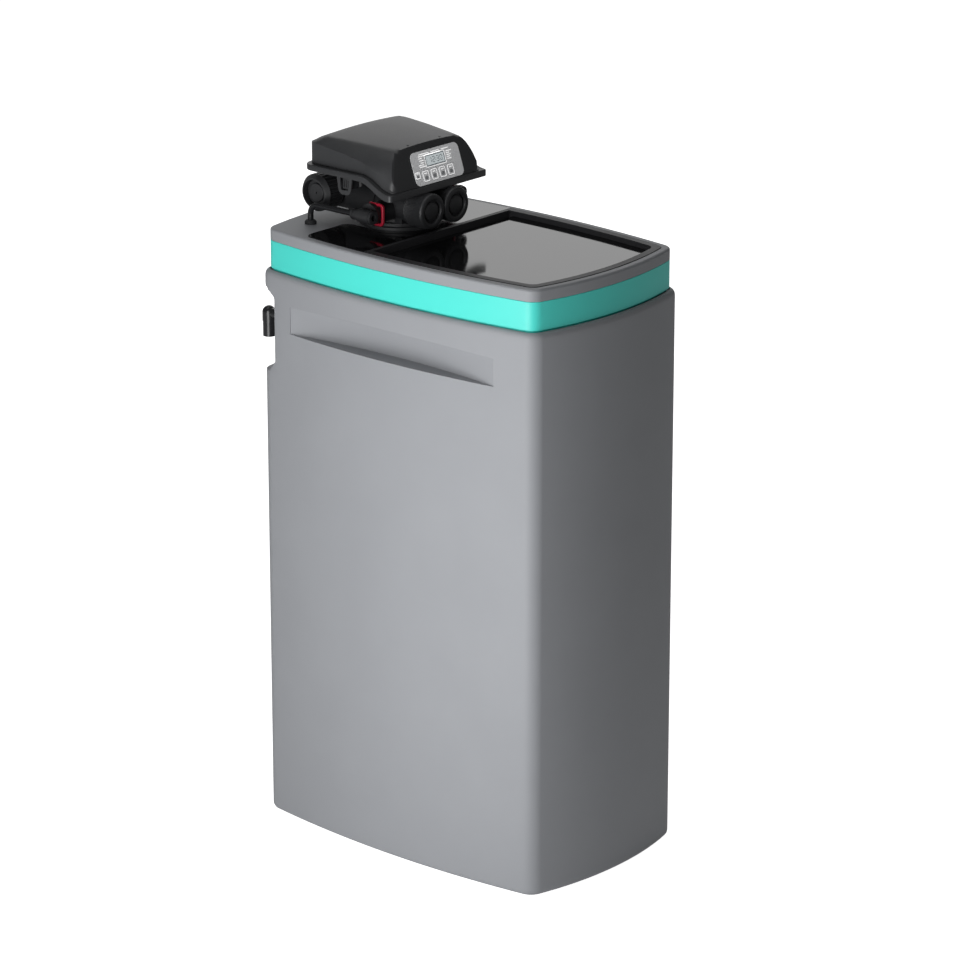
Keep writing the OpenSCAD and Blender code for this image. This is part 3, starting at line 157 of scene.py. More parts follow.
# The faces inside each grip's arched outline sink into the wall, deepest in the middle.
grips = []
for face in bm.faces:
    middle = face.calc_center_median()
    top = GRIP_HIGH + GRIP_RISE * max(grip_bulge(v) for v in face.verts)
    on_side = abs(middle.x) > SIDE_FROM and abs(middle.y - PLAN_Y) < GRIP_HALF
    if on_side and GRIP_LOW < middle.z < top - 2:
        grips.append(face)
sunk = bmesh.ops.extrude_face_region(bm, geom=grips)["geom"]
bmesh.ops.delete(bm, geom=grips, context="FACES")
for vert in verts_of(sunk):
    bulge = grip_bulge(vert)
    top = GRIP_HIGH + GRIP_RISE * bulge
    drop = (top - vert.co.z) / (top - GRIP_LOW)
    depth = GRIP_STEP + GRIP_DEPTH * bulge * (1 - GRIP_LEAN + GRIP_LEAN * drop)
    vert.co.x -= math.copysign(depth, vert.co.x)
bmesh.ops.recalc_face_normals(bm, faces=bm.faces)
bmesh.ops.scale(bm, vec=(MM, MM, MM), verts=bm.verts)


def linear(code):
    """An sRGB hex colour as linear RGBA."""
    parts = [int(code[i:i + 2], 16) / 255 for i in (1, 3, 5)]
    return [c / 12.92 if c <= 0.04045 else ((c + 0.055) / 1.055) ** 2.4 for c in parts] + [1.0]


def add_node(tree, kind, settings=None, links=None):
    """Adds one shader node, sets its sockets or properties, and links its inputs."""
    node = tree.nodes.new(kind)
    for key, value in (settings or {}).items():
        if isinstance(key, int) or key in node.inputs:
            node.inputs[key].default_value = value
        else:
            setattr(node, key, value)
    for key, source in (links or {}).items():
        tree.links.new(source, node.inputs[key])
    return node


def start_finish(name, colour, roughness, ior):
    """A new material with its shader, and the Object coordinates that its patterns use."""
    material = bpy.data.materials.new(name)
    material.use_nodes = True
    tree = material.node_tree
    shader = tree.nodes["Principled BSDF"]
    shader.inputs["Base Color"].default_value = linear(colour)
    shader.inputs["Roughness"].default_value = roughness
    shader.inputs["IOR"].default_value = ior
    place = add_node(tree, "ShaderNodeTexCoord")
    return material, tree, shader, place.outputs["Object"]


def moulded(name, light, dark, roughness, ior, grain_mm, grain_depth_mm, cloud_mm):
    """Moulded plastic: tool grain as bump and gloss, and soft clouds of colour from flow in the mould."""
    material, tree, shader, place = start_finish(name, light, roughness, ior)
    cloud = add_node(tree, "ShaderNodeTexNoise", {"Scale": 1 / (cloud_mm * MM), "Detail": 3.0},
                     {"Vector": place})
    tint = add_node(tree, "ShaderNodeMix", {"data_type": "RGBA", 6: linear(dark), 7: linear(light)},
                    {0: cloud.outputs["Fac"]})
    tree.links.new(tint.outputs[2], shader.inputs["Base Color"])
    grain = add_node(tree, "ShaderNodeTexNoise",
                     {"Scale": 1 / (grain_mm * MM), "Detail": 2.0, "Roughness": 0.6}, {"Vector": place})
    gloss = add_node(tree, "ShaderNodeMapRange", {"To Min": roughness - 0.06, "To Max": roughness + 0.06},
                     {"Value": grain.outputs["Fac"]})
    tree.links.new(gloss.outputs["Result"], shader.inputs["Roughness"])
    bump = add_node(tree, "ShaderNodeBump", {"Distance": grain_depth_mm * MM, "Strength": 0.5},
                    {"Height": grain.outputs["Fac"]})
    tree.links.new(bump.outputs["Normal"], shader.inputs["Normal"])
    return material


def piece(bm, name, material, body, stands_for=(), edge_mm=0.0, crease=32, segments=2, wall_mm=0.0):
    """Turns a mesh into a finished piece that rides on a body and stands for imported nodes."""
    mesh = bpy.data.meshes.new(name)
    bm.to_mesh(mesh)
    bm.free()
    mesh.shade_smooth()
    mesh.set_sharp_from_angle(angle=math.radians(crease))
    mesh.materials.append(material)
    obj = bpy.data.objects.new(name, mesh)
    bpy.context.scene.collection.objects.link(obj)
    if wall_mm:
        shell = obj.modifiers.new("wall", "SOLIDIFY")
        shell.thickness = wall_mm * MM
        shell.offset = -1
    if edge_mm:
        bevel = obj.modifiers.new("rounded_edges", "BEVEL")
        bevel.width = edge_mm * MM
        bevel.segments = segments
        bevel.limit_method = "ANGLE"
        bevel.angle_limit = math.radians(crease)
        flow = obj.modifiers.new("flat_faces", "WEIGHTED_NORMAL")
        flow.keep_sharp = True
    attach(obj, body)
    if stands_for:
        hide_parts(*stands_for)
    return obj


# Grey polypropylene with a fine eroded grain: a soft, even sheen with no clear reflections.
# The real grain is about 0.3 mm; it is drawn at 1.6 mm so that it shows in the render.
grey_plastic = moulded("polypropylene_grey_moulded", "#8f9195", "#898b8f", roughness=0.58, ior=1.49,
                       grain_mm=1.6, grain_depth_mm=0.05, cloud_mm=90)
piece(bm, "cabinet_shell", grey_plastic, "cabinet", ["cabinet_body"],
      edge_mm=0.6, wall_mm=WALL)

# Trim band: a ring of turquoise ABS between the cabinet and the top cover.
# It stands in the groove of the cabinet's rim on a narrower foot, which leaves a shadow gap.
# Its section is a list of steps in and heights: foot, gap, face, top and inner wall.
TOP_INSET, TOP_CORNER, BAND_LOW, BAND_TOP = 7.0, 20.0, 770.8, 812.4
BAND_SECTION = [(3.4, BAND_LOW), (3.4, 774.2), (0.4, 774.4), (0.0, 774.9), (0.0, BAND_TOP - 0.5),
                (0.4, BAND_TOP - 0.1), (5.4, BAND_TOP - 0.1), (5.4, BAND_LOW)]
bm = bmesh.new()
band = stack(bm, [(TOP_INSET + step, TOP_CORNER - step, z) for step, z in BAND_SECTION])
bmesh.ops.bridge_loops(bm, edges=band[0] + band[-1])
bmesh.ops.recalc_face_normals(bm, faces=bm.faces)
bmesh.ops.scale(bm, vec=(MM, MM, MM), verts=bm.verts)
# Satin moulded ABS: brighter sheen than the cabinet, colour very even.
teal_plastic = moulded("abs_turquoise_satin", "#48d8cc", "#43d1c5", roughness=0.45, ior=1.53,
                       grain_mm=1.2, grain_depth_mm=0.03, cloud_mm=120)
piece(bm, "trim_ring", teal_plastic, "cabinet", ["trim_band"])


# Top cover: a shallow grey moulding that rests on the trim band and closes the cabinet.
# It is made of the cabinet's plastic, and carries the salt frame and the valve's deck.
def refined(*names):
    """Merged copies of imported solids, with flat faces joined so that a bevel runs along the edges."""
    bm = bmesh.new()
    for name in names:
        bm.from_mesh(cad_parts[name].data)
    bmesh.ops.remove_doubles(bm, verts=bm.verts, dist=0.002 * MM)
    bmesh.ops.dissolve_limit(bm, angle_limit=math.radians(0.3), verts=bm.verts, edges=bm.edges)
    return bm


piece(refined("top_cover"), "top_moulding", grey_plastic, "cabinet", ["top_cover"],
      edge_mm=0.9, segments=3)


# Rear panel, salt frame and salt lid: black ABS laid into the deck, polished apart from the frame.
# The frame is dished, and the lid lies in it on a hinge with steel pins at the step.
def polished(name, colour, roughness, ior, haze_mm):
    """Polished plastic: a clear reflection that softens in broad patches where hands have wiped it."""
    material, tree, shader, place = start_finish(name, colour, roughness, ior)
    haze = add_node(tree, "ShaderNodeTexNoise", {"Scale": 1 / (haze_mm * MM), "Detail": 4.0},
                    {"Vector": place})
    gloss = add_node(tree, "ShaderNodeMapRange",
                     {"From Min": 0.35, "From Max": 0.7, "To Min": roughness, "To Max": roughness + 0.05},
                     {"Value": haze.outputs["Fac"]})
    tree.links.new(gloss.outputs["Result"], shader.inputs["Roughness"])
    return material


def finish(material, *names):
    """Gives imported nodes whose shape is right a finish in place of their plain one."""
    for name in names:
        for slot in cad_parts[name].material_slots:
            slot.material = material


# Polished black ABS: a dark mirror with faint haze from handling.
gloss_black = polished("abs_black_polished", "#111112", roughness=0.05, ior=1.53, haze_mm=60)
piece(refined("rear_panel"), "rear_gloss_panel", gloss_black, "cabinet", ["rear_panel"],
      edge_mm=0.5, segments=3)
# The frame is left as it comes from the tool, so its black is satin.
satin_black = polished("abs_black_satin", "#38383a", roughness=0.36, ior=1.53, haze_mm=60)
satin_black.node_tree.nodes["Principled BSDF"].inputs["Specular IOR Level"].default_value = 0.06
piece(refined("salt_frame"), "salt_opening_frame", satin_black, "cabinet", ["salt_frame"],
      edge_mm=0.6, segments=3)
piece(refined("salt_lid"), "salt_lid_panel", gloss_black, "lid", ["salt_lid"],
      edge_mm=0.5, segments=3)

# Hinge pins, drive shaft, screws, turbine pin and motor: the small steel parts.
# They sit in the mouldings that they join, and few of them show until the cover is off.
# Stainless steel, turned and drawn: a bright metal whose shine varies finely.
# The tool marks are about 0.05 mm apart; they are drawn at 0.6 mm so that they show.
steel, tree, shader, place = start_finish("stainless_steel_drawn", "#b9bcc0", 0.32, 1.5)
shader.inputs["Metallic"].default_value = 1.0
marks = add_node(tree, "ShaderNodeTexNoise", {"Scale": 1 / (0.6 * MM), "Detail": 3.0}, {"Vector": place})
gloss = add_node(tree, "ShaderNodeMapRange", {"To Min": 0.24, "To Max": 0.42},
                 {"Value": marks.outputs["Fac"]})
tree.links.new(gloss.outputs["Result"], shader.inputs["Roughness"])
finish(steel, "hinge_pins", "drive_shaft", "base_screws", "turbine_pin", "drive_motor")

# Salt grid and brine well: white polypropylene mouldings standing on the cabinet's floor.
# The well keeps the salt away from the float, its guide pipe and the safety valve.
# Natural polypropylene: milky white with a waxy sheen and slight clouds.
white_plastic = moulded("polypropylene_natural_moulded", "#dcdbd4", "#d2d1c9", roughness=0.42, ior=1.49,
                        grain_mm=1.2, grain_depth_mm=0.04, cloud_mm=45)
finish(white_plastic, "salt_grid", "brine_well", "well_cap", "safety_valve", "brine_float")

# Resin tank: a blow-moulded liner wound with glass fibre, standing in a black boot.
# It holds the bed of softening resin, the riser tube and the strainers.
# Wound glass fibre under blue paint: crossing bands show as a shallow relief.
# A wave repeats every 2 pi / 20 of its unit, so this scale gives a band every 57 mm.
tank_blue, tree, shader, place = start_finish("glass_fibre_wound_blue", "#3f5f86", 0.4, 1.52)
windings = []
for lean in (35, -35):
    leaning = add_node(tree, "ShaderNodeMapping", {"Rotation": (0.0, math.radians(lean), 0.0)},
                       {"Vector": place})
    wave = add_node(tree, "ShaderNodeTexWave",
                    {"Scale": 1 / (20 * 9 * MM), "bands_direction": "Z", "Distortion": 1.0, "Detail": 2.0},
                    {"Vector": leaning.outputs["Vector"]})
    windings.append(wave.outputs["Fac"])
crossed = add_node(tree, "ShaderNodeMath", {"operation": "MAXIMUM"}, {0: windings[0], 1: windings[1]})
bump = add_node(tree, "ShaderNodeBump", {"Distance": 0.4 * MM, "Strength": 0.5},
                {"Height": crossed.outputs["Value"]})
tree.links.new(bump.outputs["Normal"], shader.inputs["Normal"])
tint = add_node(tree, "ShaderNodeMix", {"data_type": "RGBA", 6: linear("#365579"), 7: linear("#46688f")},
                {0: crossed.outputs["Value"]})
tree.links.new(tint.outputs[2], shader.inputs["Base Color"])
finish(tank_blue, "resin_tank")

# Softening resin: amber beads that fill the tank loosely, shown as one block.
# Real beads are about 0.6 mm; they are drawn at 2 mm so that they show.
resin, tree, shader, place = start_finish("resin_beads_amber", "#b7772c", 0.35, 1.5)
beads = add_node(tree, "ShaderNodeTexVoronoi", {"Scale": 1 / (2 * MM)}, {"Vector": place})
bump = add_node(tree, "ShaderNodeBump", {"Distance": 0.6 * MM, "Strength": 0.8, "invert": True},
                {"Height": beads.outputs["Distance"]})
tree.links.new(bump.outputs["Normal"], shader.inputs["Normal"])
# The colour is lighter in each bead's middle and darker towards the gaps between beads: painted shade in the
# gaps.
tint = add_node(tree, "ShaderNodeMix", {"data_type": "RGBA", 6: linear("#c98a38"), 7: linear("#8f5417")},
                {0: beads.outputs["Distance"]})
tree.links.new(tint.outputs[2], shader.inputs["Base Color"])
finish(resin, "resin_bed")
finish(white_plastic, "riser_tube", "bottom_strainer", "top_strainer", "injector", "filter_screen")

# Valve: the black body with its collar, barrels, ports and boss, in glass-filled engineering plastic.
# It screws into the tank's neck and stands on the deck behind the salt lid.
# Glass-filled plastic: near-black, matt, with a coarse grain where the fibres reach the surface.
valve_black = moulded("glass_filled_plastic_black", "#2b2c2e", "#242527", roughness=0.5, ior=1.55,
                      grain_mm=1.2, grain_depth_mm=0.06, cloud_mm=40)
for node, label in [("deck_collar", "collar_ring"), ("valve_body", "valve_casting"),
                    ("drive_base", "drive_plate"), ("port_plug_left", "transport_plug_left"),
                    ("port_plug_right", "transport_plug_right"), ("brine_elbow", "brine_fitting"),
                    ("drain_elbow", "drain_fitting")]:
    piece(refined(node), label, valve_black, "cabinet", [node], edge_mm=0.6, segments=3)
finish(valve_black, "tank_boot")

# Union nuts: collars with broad ribs, in the valve's black plastic.
# Each turns by hand on the thread of its port and draws up a pipe's connector.
for side in ("left", "right"):
    node = "union_nut_" + side
    piece(refined(node), "port_nut_" + side, valve_black, "nut_" + side, [node], edge_mm=0.4)

# End caps: round black mouldings screwed on the barrels, with a domed disc in the face.
# A shallow knurl of narrow pads runs round them for the fingers.
# The outline is a list of radii and depths behind the face; places are from the deck under the valve.
DECK = Vector((0.0, 124.4, 828.6))
CAP_R, CAP_LEN, CAP_FACE = 23.8, 32.5, 81.0
BARREL_X, BARREL_Z, BARREL_R = 24.0, 31.4, 20.1
PAD_EDGE, PAD_DEPTH = 0.45, 0.25
CAP_OUTLINE = [(0.0, 0.2), (5.0, 0.3), (9.5, 0.9), (11.8, 1.7), (13.0, 2.8), (13.4, 4.2), (15.4, 4.2),
               (15.8, 2.2), (16.6, 0.5), (18.0, 0.0), (21.0, 0.0), (22.6, 0.6), (23.5, 1.9), (CAP_R, 3.6),
               (CAP_R, CAP_LEN - 1.2), (CAP_R - 1.0, CAP_LEN), (BARREL_R, CAP_LEN), (BARREL_R, 6.0),
               (0.0, 6.0)]


def turned(bm, outline, steps):
    """Spins an outline of (radius, height) pairs about Z into a closed round moulding."""
    verts = [bm.verts.new((r, 0, h)) for r, h in outline]
    edges = [bm.edges.new(pair) for pair in zip(verts, verts[1:])]
    bmesh.ops.spin(bm, geom=verts + edges, cent=(0, 0, 0), axis=(0, 0, 1), angle=math.tau, steps=steps,
                   use_merge=True)
    bmesh.ops.remove_doubles(bm, verts=bm.verts, dist=0.001)
    bmesh.ops.recalc_face_normals(bm, faces=bm.faces)


for side, sign in (("left", -1), ("right", 1)):
    bm = bmesh.new()
    turned(bm, CAP_OUTLINE, 72)
    upright = [f for f in bm.faces if abs(f.normal.z) < 0.1]
    pads = [f for f in upright if f.calc_center_median().xy.length > BARREL_R + 2]
    bmesh.ops.inset_individual(bm, faces=pads, thickness=PAD_EDGE, depth=-PAD_DEPTH)
    place = Matrix.Translation((DECK + Vector((sign * BARREL_X, -CAP_FACE, BARREL_Z))) * MM)
    bmesh.ops.scale(bm, vec=(MM, MM, MM), verts=bm.verts)
    bmesh.ops.transform(bm, matrix=place @ Matrix.Rotation(math.radians(-90), 4, "X"), verts=bm.verts)
    piece(bm, "barrel_cap_" + side, valve_black, "cabinet", ["end_cap_" + side], crease=40)

# Gears, rotor and turbine: acetal mouldings inside the valve and under the control cover.
# Gear and rotor are fixed on the drive shaft; the turbine spins on a pin in the outlet port.
# Acetal: dense ivory white with a slippery, slightly glossy face.
acetal = moulded("acetal_ivory_moulded", "#e6e3d8", "#dddacd", roughness=0.3, ior=1.48,
                 grain_mm=0.8, grain_depth_mm=0.02, cloud_mm=30)
finish(acetal, "rotor_disc", "drive_gear", "motor_pinion", "turbine")

# Brine tube, overflow elbow, grommets and neck ring: black polyethylene and rubber.
# The tube passes the deck in a grommet, and the elbow is pushed into one in the hose trough.
# Drawn polyethylene: smooth and even, with a satin shine.
tube_black = moulded("polyethylene_black_drawn", "#202123", "#1b1c1e", roughness=0.24, ior=1.51,
                     grain_mm=1.5, grain_depth_mm=0.02, cloud_mm=25)
finish(tube_black, "brine_tube")
# Rubber: matt, a little dusty, with no clear shine.
rubber = moulded("rubber_black_moulded", "#1d1e1f", "#26272a", roughness=0.7, ior=1.52,
                 grain_mm=0.9, grain_depth_mm=0.04, cloud_mm=18)
finish(rubber, "tube_grommet", "overflow_grommet", "neck_o_ring")
piece(refined("overflow_elbow"), "overflow_fitting", tube_black, "cabinet", ["overflow_elbow"],
      edge_mm=0.6, segments=3)

# Retaining clips: bent forks of red plastic that slide in from the front and hold the elbows.
# Each is one bar of square section, bent round at two corners.
CLIP_X, CLIP_BACK, CLIP_FRONT, CLIP_Z = 70.0, -11.0, -33.5, 27.4
CLIP_ARM, CLIP_BEND, CLIP_BAR = 13.4, 4.5, 3.8
# Red acetal: saturated and even, with a soft shine along the edges.
crimson = moulded("acetal_crimson_moulded", "#b8203a", "#aa1a33", roughness=0.34, ior=1.48,
                  grain_mm=0.8, grain_depth_mm=0.02, cloud_mm=20)


def lengthened(bm, tip, run, first=False):
    """Draws a bar on from its end face; the old end goes, unless it is the bar's first."""
    drawn = bmesh.ops.extrude_face_region(bm, geom=tip)["geom"]
    if not first:
        bmesh.ops.delete(bm, geom=tip, context="FACES_ONLY")
    bmesh.ops.translate(bm, vec=run, verts=verts_of(drawn))
    return [f for f in drawn if isinstance(f, bmesh.types.BMFace)]


def bent(bm, tip, centre):
    """Bends a bar on through a right angle about a line along X."""
    spun = bmesh.ops.spin(bm, geom=tip, cent=centre, axis=(1, 0, 0), angle=math.radians(90), steps=8,
                          use_merge=False)
    bmesh.ops.delete(bm, geom=tip, context="FACES_ONLY")
    return [f for f in spun["geom_last"] if isinstance(f, bmesh.types.BMFace)]


for side, sign, node in (("left", -1, "brine_clip"), ("right", 1, "drain_clip")):
    bm = bmesh.new()
    start = bmesh.ops.create_grid(bm, x_segments=1, y_segments=1, size=CLIP_BAR / 2)["verts"]
    bmesh.ops.rotate(bm, matrix=Matrix.Rotation(math.radians(90), 3, "X"), verts=start)
    bmesh.ops.translate(bm, vec=(sign * CLIP_X, CLIP_BACK, CLIP_Z + CLIP_ARM), verts=start)
    arm = CLIP_BACK - CLIP_FRONT - CLIP_BEND
    tip = lengthened(bm, list(bm.faces), (0, -arm, 0), True)
    tip = bent(bm, tip, (0, CLIP_FRONT + CLIP_BEND, CLIP_Z + CLIP_ARM - CLIP_BEND))
    tip = lengthened(bm, tip, (0, 0, 2 * (CLIP_BEND - CLIP_ARM)))
    tip = bent(bm, tip, (0, CLIP_FRONT + CLIP_BEND, CLIP_Z - CLIP_ARM + CLIP_BEND))
    lengthened(bm, tip, (0, arm, 0))
    bmesh.ops.remove_doubles(bm, verts=bm.verts, dist=0.001)
    bmesh.ops.recalc_face_normals(bm, faces=bm.faces)
    bmesh.ops.translate(bm, vec=DECK, verts=bm.verts)
    bmesh.ops.scale(bm, vec=(MM, MM, MM), verts=bm.verts)
    piece(bm, "retaining_fork_" + side, crimson, "clip_" + side, [node],
          edge_mm=0.7, crease=50)

# Control cover: a thin bonnet of black ABS with a crowned top and a rim that dips towards the front.
# Its rear is high and square; the front leans back and carries the control panel.
# Two latches hang from the rim and snap over lugs on the drive plate.
BONNET_FRONT, BONNET_REAR, BONNET_FRONT_HW, BONNET_REAR_HW = -68.0, 84.4, 85.5, 87.4
CROWN, CROWN_ACROSS, CROWN_REAR, CROWN_RUN, NOSE_DROP, NOSE_POWER = 123.5, 5.0, 70.0, 125.0, 7.4, 1.6
FACE_FOOT, FACE_Z, FACE_LEAN, FACE_BLEND = -67.0, 68.4, math.radians(19.2), 7.0
LIP_HW, LIP_FRONT, LIP_REAR, LIP_FRONT_STEP, LIP_REAR_STEP = 96.0, -71.0, 88.5, 3.2, 3.6
LIP_LOW, LIP_RISE, LIP_RISE_FROM, LIP_RISE_RUN = 55.4, 19.6, -66.0, 52.0
# Tables of (y, value): the shoulder's height, the flat top's half width, and how it falls to the shoulder.
SHOULDER = [(-68, 65.5), (-63.8, 67.4), (-55, 72.6), (-45, 81.4), (-37.4, 87.8), (-24.9, 94.9), (-4.6, 100.5),
            (15.7, 104.2), (41.2, 107.3), (54, 109.4), (66.9, 110.7), (90, 111.5)]
FLAT_HW, FLAT_REAR = [(-50, 57.0), (0, 66.0), (50, 72.0)], 62.0
FALL_POWER, FALL_ROUND = [(-45, 1.9), (0, 1.6)], [(-45, 1.35), (-15, 1.0)]
# The rim is a little thinner along the sides and the rear.
LIP_SHARE = [(-62, 1.0), (-20, 0.86)]
# The rim's section, from the groove at the wall's foot over the lip to the inside: the step in from its
# widest line, the corner radii at front and rear, and the height above its lower edge.
LIP_SECTION = [(8.4, 8, 14, 10.2), (10.2, 7, 13, 10.2), (10.2, 7, 13, 9.3), (0.9, 5, 17, 9.3),
               (0.2, 5, 18, 8.7), (0, 5, 18, 8.0), (0, 5, 18, 0.9), (0.3, 5, 18, 0.3),
               (1, 5, 17, 0), (2.4, 4, 16, 0), (2.6, 4, 16, 6.6), (11, 4, 13, 7)]


def along(table, y):
    """A value read off a table of (y, value) pairs, from front to rear."""
    if y <= table[0][0]:
        return table[0][1]
    for (y0, z0), (y1, z1) in zip(table, table[1:]):
        if y <= y1:
            return z0 + (z1 - z0) * (y - y0) / (y1 - y0)
    return table[-1][1]


def rim_low(y):
    """Lower edge of the rim: low across the front, easing up to the high sides."""
    t = min(1.0, max(0.0, (y - LIP_RISE_FROM) / LIP_RISE_RUN))
    return LIP_LOW + LIP_RISE * (1 - math.cos(math.pi * t)) / 2


def bonnet_height(x, y):
    """Height of the bonnet: a crowned top that falls over full shoulders, cut by the leaning face."""
    crown = CROWN - NOSE_DROP * (max(0.0, CROWN_REAR - y) / CROWN_RUN) ** NOSE_POWER
    low = along(SHOULDER, y)
    taper = (BONNET_REAR_HW - BONNET_FRONT_HW) / (BONNET_REAR - BONNET_FRONT)
    half = BONNET_FRONT_HW + taper * (y - BONNET_FRONT)
    level = along(FLAT_HW, y)
    across = min(1.0, max(0.0, (abs(x) - level) / (half - level)))
    behind = min(1.0, max(0.0, (y - FLAT_REAR) / (BONNET_REAR - FLAT_REAR)))
    fall = min(1.0, across + behind - across * behind)
    share = (1 - fall ** along(FALL_POWER, y)) ** (1 / along(FALL_ROUND, y))
    dome = low + (crown - low) * share - CROWN_ACROSS * (x / half) ** 2 * (1 - fall)
    face = FACE_Z + (y - FACE_FOOT) / math.tan(FACE_LEAN)
    blend = max(0.0, FACE_BLEND - abs(dome - face)) / FACE_BLEND
    return min(dome, face) - blend ** 2 * FACE_BLEND / 4


def bonnet_loop(front_hw, rear_hw, front, rear, front_r, rear_r):
    """Points of one level round the bonnet: a rounded oblong, wider at the rear."""
    points = []
    for y, hw, r, turn in [(front, front_hw, front_r, -90), (rear, rear_hw, rear_r, 0)]:
        cy = y + r if turn else y - r
        angles = [math.radians(turn + 90 * i / 7) for i in range(8)]
        points += [(hw - r + r * math.cos(a), cy + r * math.sin(a)) for a in angles]
    (x0, y0), (x1, y1) = points[7:9]
    wall = [(x0 + (x1 - x0) * i / 24, y0 + (y1 - y0) * i / 24) for i in range(1, 24)]
    right = points[:8] + wall + points[8:]
    left = [(-x, y) for x, y in reversed(right)]
    rear_edge = [(right[-1][0] * (1 - i / 8), right[-1][1]) for i in range(1, 16)]
    front_edge = [(left[-1][0] * (1 - i / 8), left[-1][1]) for i in range(1, 16)]
    return right + rear_edge + left + front_edge


# The top is drawn in loops from its middle out to the wall; then come the rim and the inside.
inner = bonnet_loop(20, 24, -16, 42, 10, 12)
outer = bonnet_loop(BONNET_FRONT_HW, BONNET_REAR_HW, BONNET_FRONT, BONNET_REAR, 10, 13)
levels = []
for share in (0, 0.2, 0.4, 0.52, 0.62, 0.7, 0.76, 0.82, 0.87, 0.91, 0.94, 0.97, 0.99):
    flat = [(x0 + (x1 - x0) * share, y0 + (y1 - y0) * share) for (x0, y0), (x1, y1) in zip(inner, outer)]
    levels.append([(x, y, bonnet_height(x, y)) for x, y in flat])
levels.append([(x, y, along(SHOULDER, y)) for x, y in outer])
for inset, front_r, rear_r, height in LIP_SECTION:
    front = LIP_FRONT + min(inset, LIP_FRONT_STEP)
    rear = LIP_REAR - min(inset, LIP_REAR_STEP)
    loop = bonnet_loop(LIP_HW - inset, LIP_HW - inset, front, rear, front_r, rear_r)
    levels.append([(x, y, rim_low(y) + height * along(LIP_SHARE, y)) for x, y in loop])
levels.append([(x, y, along(SHOULDER, y) - 2.5) for x, y in bonnet_loop(82.5, 84.6, -63.4, 81.6, 8, 11)])
levels.append([(x, y, bonnet_height(x, y) - 3.4) for x, y in bonnet_loop(60, 70, -42, 74, 10, 12)])
bm = bmesh.new()
loops = []
for ring in levels:
    verts = [bm.verts.new((DECK + Vector(p)) * MM) for p in ring]
    loops.append([bm.edges.new((verts[i], verts[i - 1])) for i in range(len(verts))])
for upper, lower in zip(loops, loops[1:]):
    bmesh.ops.bridge_loops(bm, edges=upper + lower)
for loop in (loops[0], loops[-1]):
    bmesh.ops.contextual_create(bm, geom=loop)
bmesh.ops.recalc_face_normals(bm, faces=bm.faces)

# Textured black ABS: a fine spark-eroded grain that greys the top under the studio light.
# The real grain is about 0.4 mm; it is drawn at 1.1 mm so that it shows in the render.
cover_black = moulded("abs_black_spark_eroded", "#333436", "#2d2e30", roughness=0.44, ior=1.53,
                      grain_mm=1.1, grain_depth_mm=0.09, cloud_mm=50)
piece(bm, "control_bonnet", cover_black, "cover", ["control_cover"], crease=24)


def plate(bm, width, height, radius, thickness, place, line=0.0):
    """A flat plate with rounded corners, or only a line round its edge, drawn in mm and set in its place."""
    before = set(bm.verts)
    corners = bmesh.ops.create_grid(bm, x_segments=1, y_segments=1, size=0.5)["verts"]
    bmesh.ops.scale(bm, vec=(width, height, 1), verts=corners)
    bmesh.ops.bevel(bm, geom=corners, offset=radius, offset_type="OFFSET", segments=5, profile=0.5,
                    affect="VERTICES", material=-1)
    faces = [f for f in bm.faces if not before.intersection(f.verts)]
    if line:
        rim = bmesh.ops.inset_region(bm, faces=faces, thickness=line, use_boundary=True,
                                     use_even_offset=True)["faces"]
        bmesh.ops.delete(bm, geom=faces, context="FACES")
        faces = rim
    raised = bmesh.ops.extrude_face_region(bm, geom=faces)["geom"]
    bmesh.ops.translate(bm, vec=(0, 0, thickness), verts=verts_of(raised))
    verts = [v for v in bm.verts if v not in before]
    bmesh.ops.scale(bm, vec=(MM, MM, MM), verts=verts)
    bmesh.ops.transform(bm, matrix=place, verts=verts)


def printed(bm, name, material, body):
    """Finishes plates that belong together as a piece of their own."""
    bmesh.ops.recalc_face_normals(bm, faces=bm.faces)
    piece(bm, name, material, body)


# Each latch is an open loop that hangs at a side of the bonnet and narrows towards its foot.
LATCH_X, LATCH_Y, LATCH_LOW, LATCH_TOP = 93.6, 11.0, 52.9, 82.0
LATCH_W, LATCH_T, LATCH_ROUND, LATCH_BAR = 27.0, 2.2, 8.0, 5.6
LATCH_FOOT, LATCH_FLARE = 0.76, 0.3
bm = bmesh.new()
for sign in (-1, 1):
    stand = Matrix(((0, 0, sign, 0), (sign, 0, 0, 0), (0, 1, 0, 0), (0, 0, 0, 1)))
    middle = DECK + Vector((sign * LATCH_X, LATCH_Y, (LATCH_LOW + LATCH_TOP) / 2))
    plate(bm, LATCH_W, LATCH_TOP - LATCH_LOW, LATCH_ROUND, LATCH_T, Matrix.Translation(middle * MM) @ stand,
          LATCH_BAR)
centre_line = (DECK.y + LATCH_Y) * MM
for vert in bm.verts:
    share = (vert.co.z / MM - DECK.z - LATCH_LOW) / (LATCH_TOP - LATCH_LOW)
    vert.co.y = centre_line + (vert.co.y - centre_line) * (LATCH_FOOT + LATCH_FLARE * share)
printed(bm, "bonnet_latches", cover_black, "cover")

